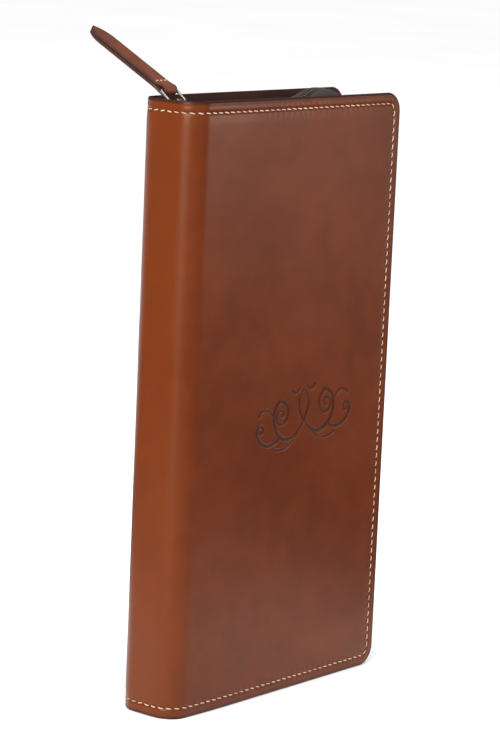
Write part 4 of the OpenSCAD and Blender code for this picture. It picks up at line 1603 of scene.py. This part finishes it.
def make_tab():
    """One strap folded round the wire and stitched to itself, its edges burnished."""
    r, fold_l = 1.34 * MM, 5 * MM
    a_line = TAB_L - stations(TAB_L - fold_l, lambda v: min(0.6 * MM, 0.05 * MM + 0.2 * v))
    top = [(a, 0.67 * MM) for a in a_line]
    for share in np.linspace(0, 1, 9)[1:]:
        a = fold_l * (1 - share)
        top.append((a, (0.67 + 0.67 * float(smooth(share))) * MM))
    turn = np.radians(np.linspace(90, 270, 19)[1:-1])
    fold = [(r * math.cos(a), r * math.sin(a)) for a in turn]
    line = np.array(top + fold + [(a, -n) for a, n in reversed(top)])
    normal = -square_to(line)
    half_t, edge = TAB_T / 2, 0.5 * MM
    rings, uv, inset = [], [], []
    share = np.linspace(-1, 1, 13)
    round_edge = np.radians((60, 30, 0, -30, -60))
    for (along, over), (n_along, n_over), q in zip(line, normal, walked(line)):
        half = max(float(tab_half_width(along)), 0.06 * MM)
        tip = min(1.0, half / (1.2 * MM))
        ring = []
        flat = max(half - edge * tip, 0.02 * MM)
        shape = [(u * flat, half_t, half - abs(u) * flat) for u in share]
        arc = [(flat + edge * tip * math.cos(a), half_t * math.sin(a), 0) for a in round_edge]
        shape += arc + [(-u * flat, -half_t, half - abs(u) * flat) for u in share]
        shape += [(-x, -n, 0) for x, n, _ in arc]
        for across, n, d in shape:
            crease = 0.1 * MM * math.exp(-((d - 1.15 * MM) / (0.25 * MM)) ** 2) if d else 0
            n -= math.copysign(crease * tip, n)
            ring.append((across, along + n * n_along, over + n * n_over))
            uv.append((across, q))
            inset.append(min(d, max(0, TAB_L - along) * 0.8 if along > 30 * MM else 1) / MM)
        rings.append(tab_place(ring))
    points, faces = loft(rings)
    piece = make_piece("strap_tab", points, faces, TAB_HIDE, uv, {"inset": inset}, 60)
    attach(piece, "tab")
    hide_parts("pull_tab")
    return piece


def make_tab_thread(shape):
    """Three stitches across the strap's fold on each face."""
    paths = []
    over = 1.36 * MM
    for face in (1, -1):
        across = np.linspace(-2.9, 2.9, 30) * MM
        local = np.stack([across, 0 * across + 4.6 * MM, 0 * across + face * over], 1)
        out = np.array([0, -math.sin(TAB_TILT), math.cos(TAB_TILT)]) * face
        paths.append((tab_place(local)[3:-3], np.tile(out, (24, 1))))
    piece = repeat_along(
        "thread_tab", paths, shape, [3, 3], THREAD, seed=3, turn=math.radians(5), size=0.05
    )
    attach(piece, "tab")
    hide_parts("pull_tab_stitching")
    return piece


# ---- The whole thing ----

def build():
    """Every piece in turn. Shapes that were only repeated are removed at the end."""
    draw = random.Random(21)
    stitch = stitch_shape(2.1 * MM, 0.52 * MM)
    short_stitch = stitch_shape(1.75 * MM, 0.55 * MM)
    tooth = coil_shape()
    for name in SIDES:
        make_leather(name)
        make_lining(name)
        make_thread(name, stitch)
        make_tape(name)
        make_coil(name, tooth)
        make_stops(name)
        make_pages(name, draw)
        make_end_leaf(name)
        make_book_cover(name)
        make_pocket(name)
    make_book_spine()
    make_binding()
    make_end_band("headband", PAGE_Z[1] + BAND_R)
    make_end_band("tailband", PAGE_Z[0] - BAND_R)
    ribbon = make_ribbon("ribbon_red", "ribbon_marker_long", 27.4 * MM, 4 * MM, RED_RIBBON)
    ribbon = make_ribbon("ribbon_gold", "ribbon_marker_short", 39.4 * MM, 8 * MM, GOLD_RIBBON)
    make_slider()
    make_lug()
    make_loop()
    make_tab()
    make_tab_thread(short_stitch)
    for shape in (stitch, short_stitch, tooth):
        bpy.data.objects.remove(shape)
    for node in ("spine_board", "front_board", "back_board"):
        board = frame["nodes"][node]
        board.data.materials.clear()
        board.data.materials.append(BOARD)


build()


# ---- Floor, light and camera ----

def floor():
    """Pale sheet under the case, so wide that its edges stay out of sight."""
    mesh = bpy.data.meshes.new("floor")
    half, cells = 9.0, 12
    line = np.linspace(-half, half, cells + 1)
    x, y = np.meshgrid(line, line)
    points = np.stack([x.ravel(), y.ravel(), np.zeros(x.size)], 1)
    mesh.from_pydata(points.tolist(), [], [f[::-1] for f in quads(cells + 1, cells + 1)])
    mesh.materials.append(floor_paper())
    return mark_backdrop(shown("floor", mesh))


def softbox(name, at, target, size, power):
    """Rectangular studio light, aimed at a target. Power in watts."""
    light = bpy.data.lights.new(name, "AREA")
    light.shape = "RECTANGLE"
    light.size, light.size_y = size
    light.energy = power
    lamp = shown(name, light)
    lamp.location = at
    lamp.rotation_euler = (Vector(target) - Vector(at)).to_track_quat("-Z", "Y").to_euler()


def turned_camera():
    """Long lens from the front and the spine side, a little above and a little rolled."""
    yaw, pitch, roll = 0.88858, 0.17521, 0.04438
    ahead = Vector((math.sin(yaw) * math.cos(pitch), math.cos(yaw) * math.cos(pitch), -math.sin(pitch)))
    right = Vector((math.cos(yaw), -math.sin(yaw), 0))
    up = right.cross(ahead)
    across = math.cos(roll) * right + math.sin(roll) * up
    over = math.cos(roll) * up - math.sin(roll) * right
    lens = bpy.data.cameras.new("camera")
    lens.sensor_width = 36.0
    lens.lens = 135.20865
    lens.clip_start, lens.clip_end = 0.05, 60.0
    turn = Matrix((across, over, -ahead)).transposed()
    camera = shown("camera", lens)
    camera.matrix_world = Matrix.Translation((-0.80024, -0.69579, 0.32387)) @ turn.to_4x4()
    bpy.context.scene.camera = camera


def world_light():
    """White all round, and much dimmer in mirror-like reflections."""
    world = bpy.data.worlds.new("studio")
    world.use_nodes = True
    t = Tree(world.node_tree)
    ground = world.node_tree.nodes["Background"]
    ground.inputs["Color"].default_value = (1.0, 1.0, 1.0, 1.0)
    mirrored = t.add("ShaderNodeLightPath").outputs["Is Glossy Ray"]
    plain, in_mirrors = 1.03, 0.15
    strength = t.add("ShaderNodeMapRange", {0: mirrored, 3: plain, 4: in_mirrors}).outputs[0]
    t.tree.links.new(strength, ground.inputs["Strength"])
    bpy.context.scene.world = world


floor()
turned_camera()
world_light()
softbox("key", (-1.7, -0.5, 0.85), (0.05, 0, 0.12), (0.9, 1.2), 36)
softbox("fill", (-0.5, -2.2, 0.8), (0.06, 0, 0.1), (1.2, 1.2), 3)
softbox("top", (0.0, 0.1, 1.7), (0.05, 0, 0.1), (1.6, 1.6), 10)
softbox("sheen", (0.72, -0.76, 0.27), (0.02, -0.015, 0.225), (0.18, 0.2), 1.3)
bpy.context.scene.view_settings.view_transform = "Standard"
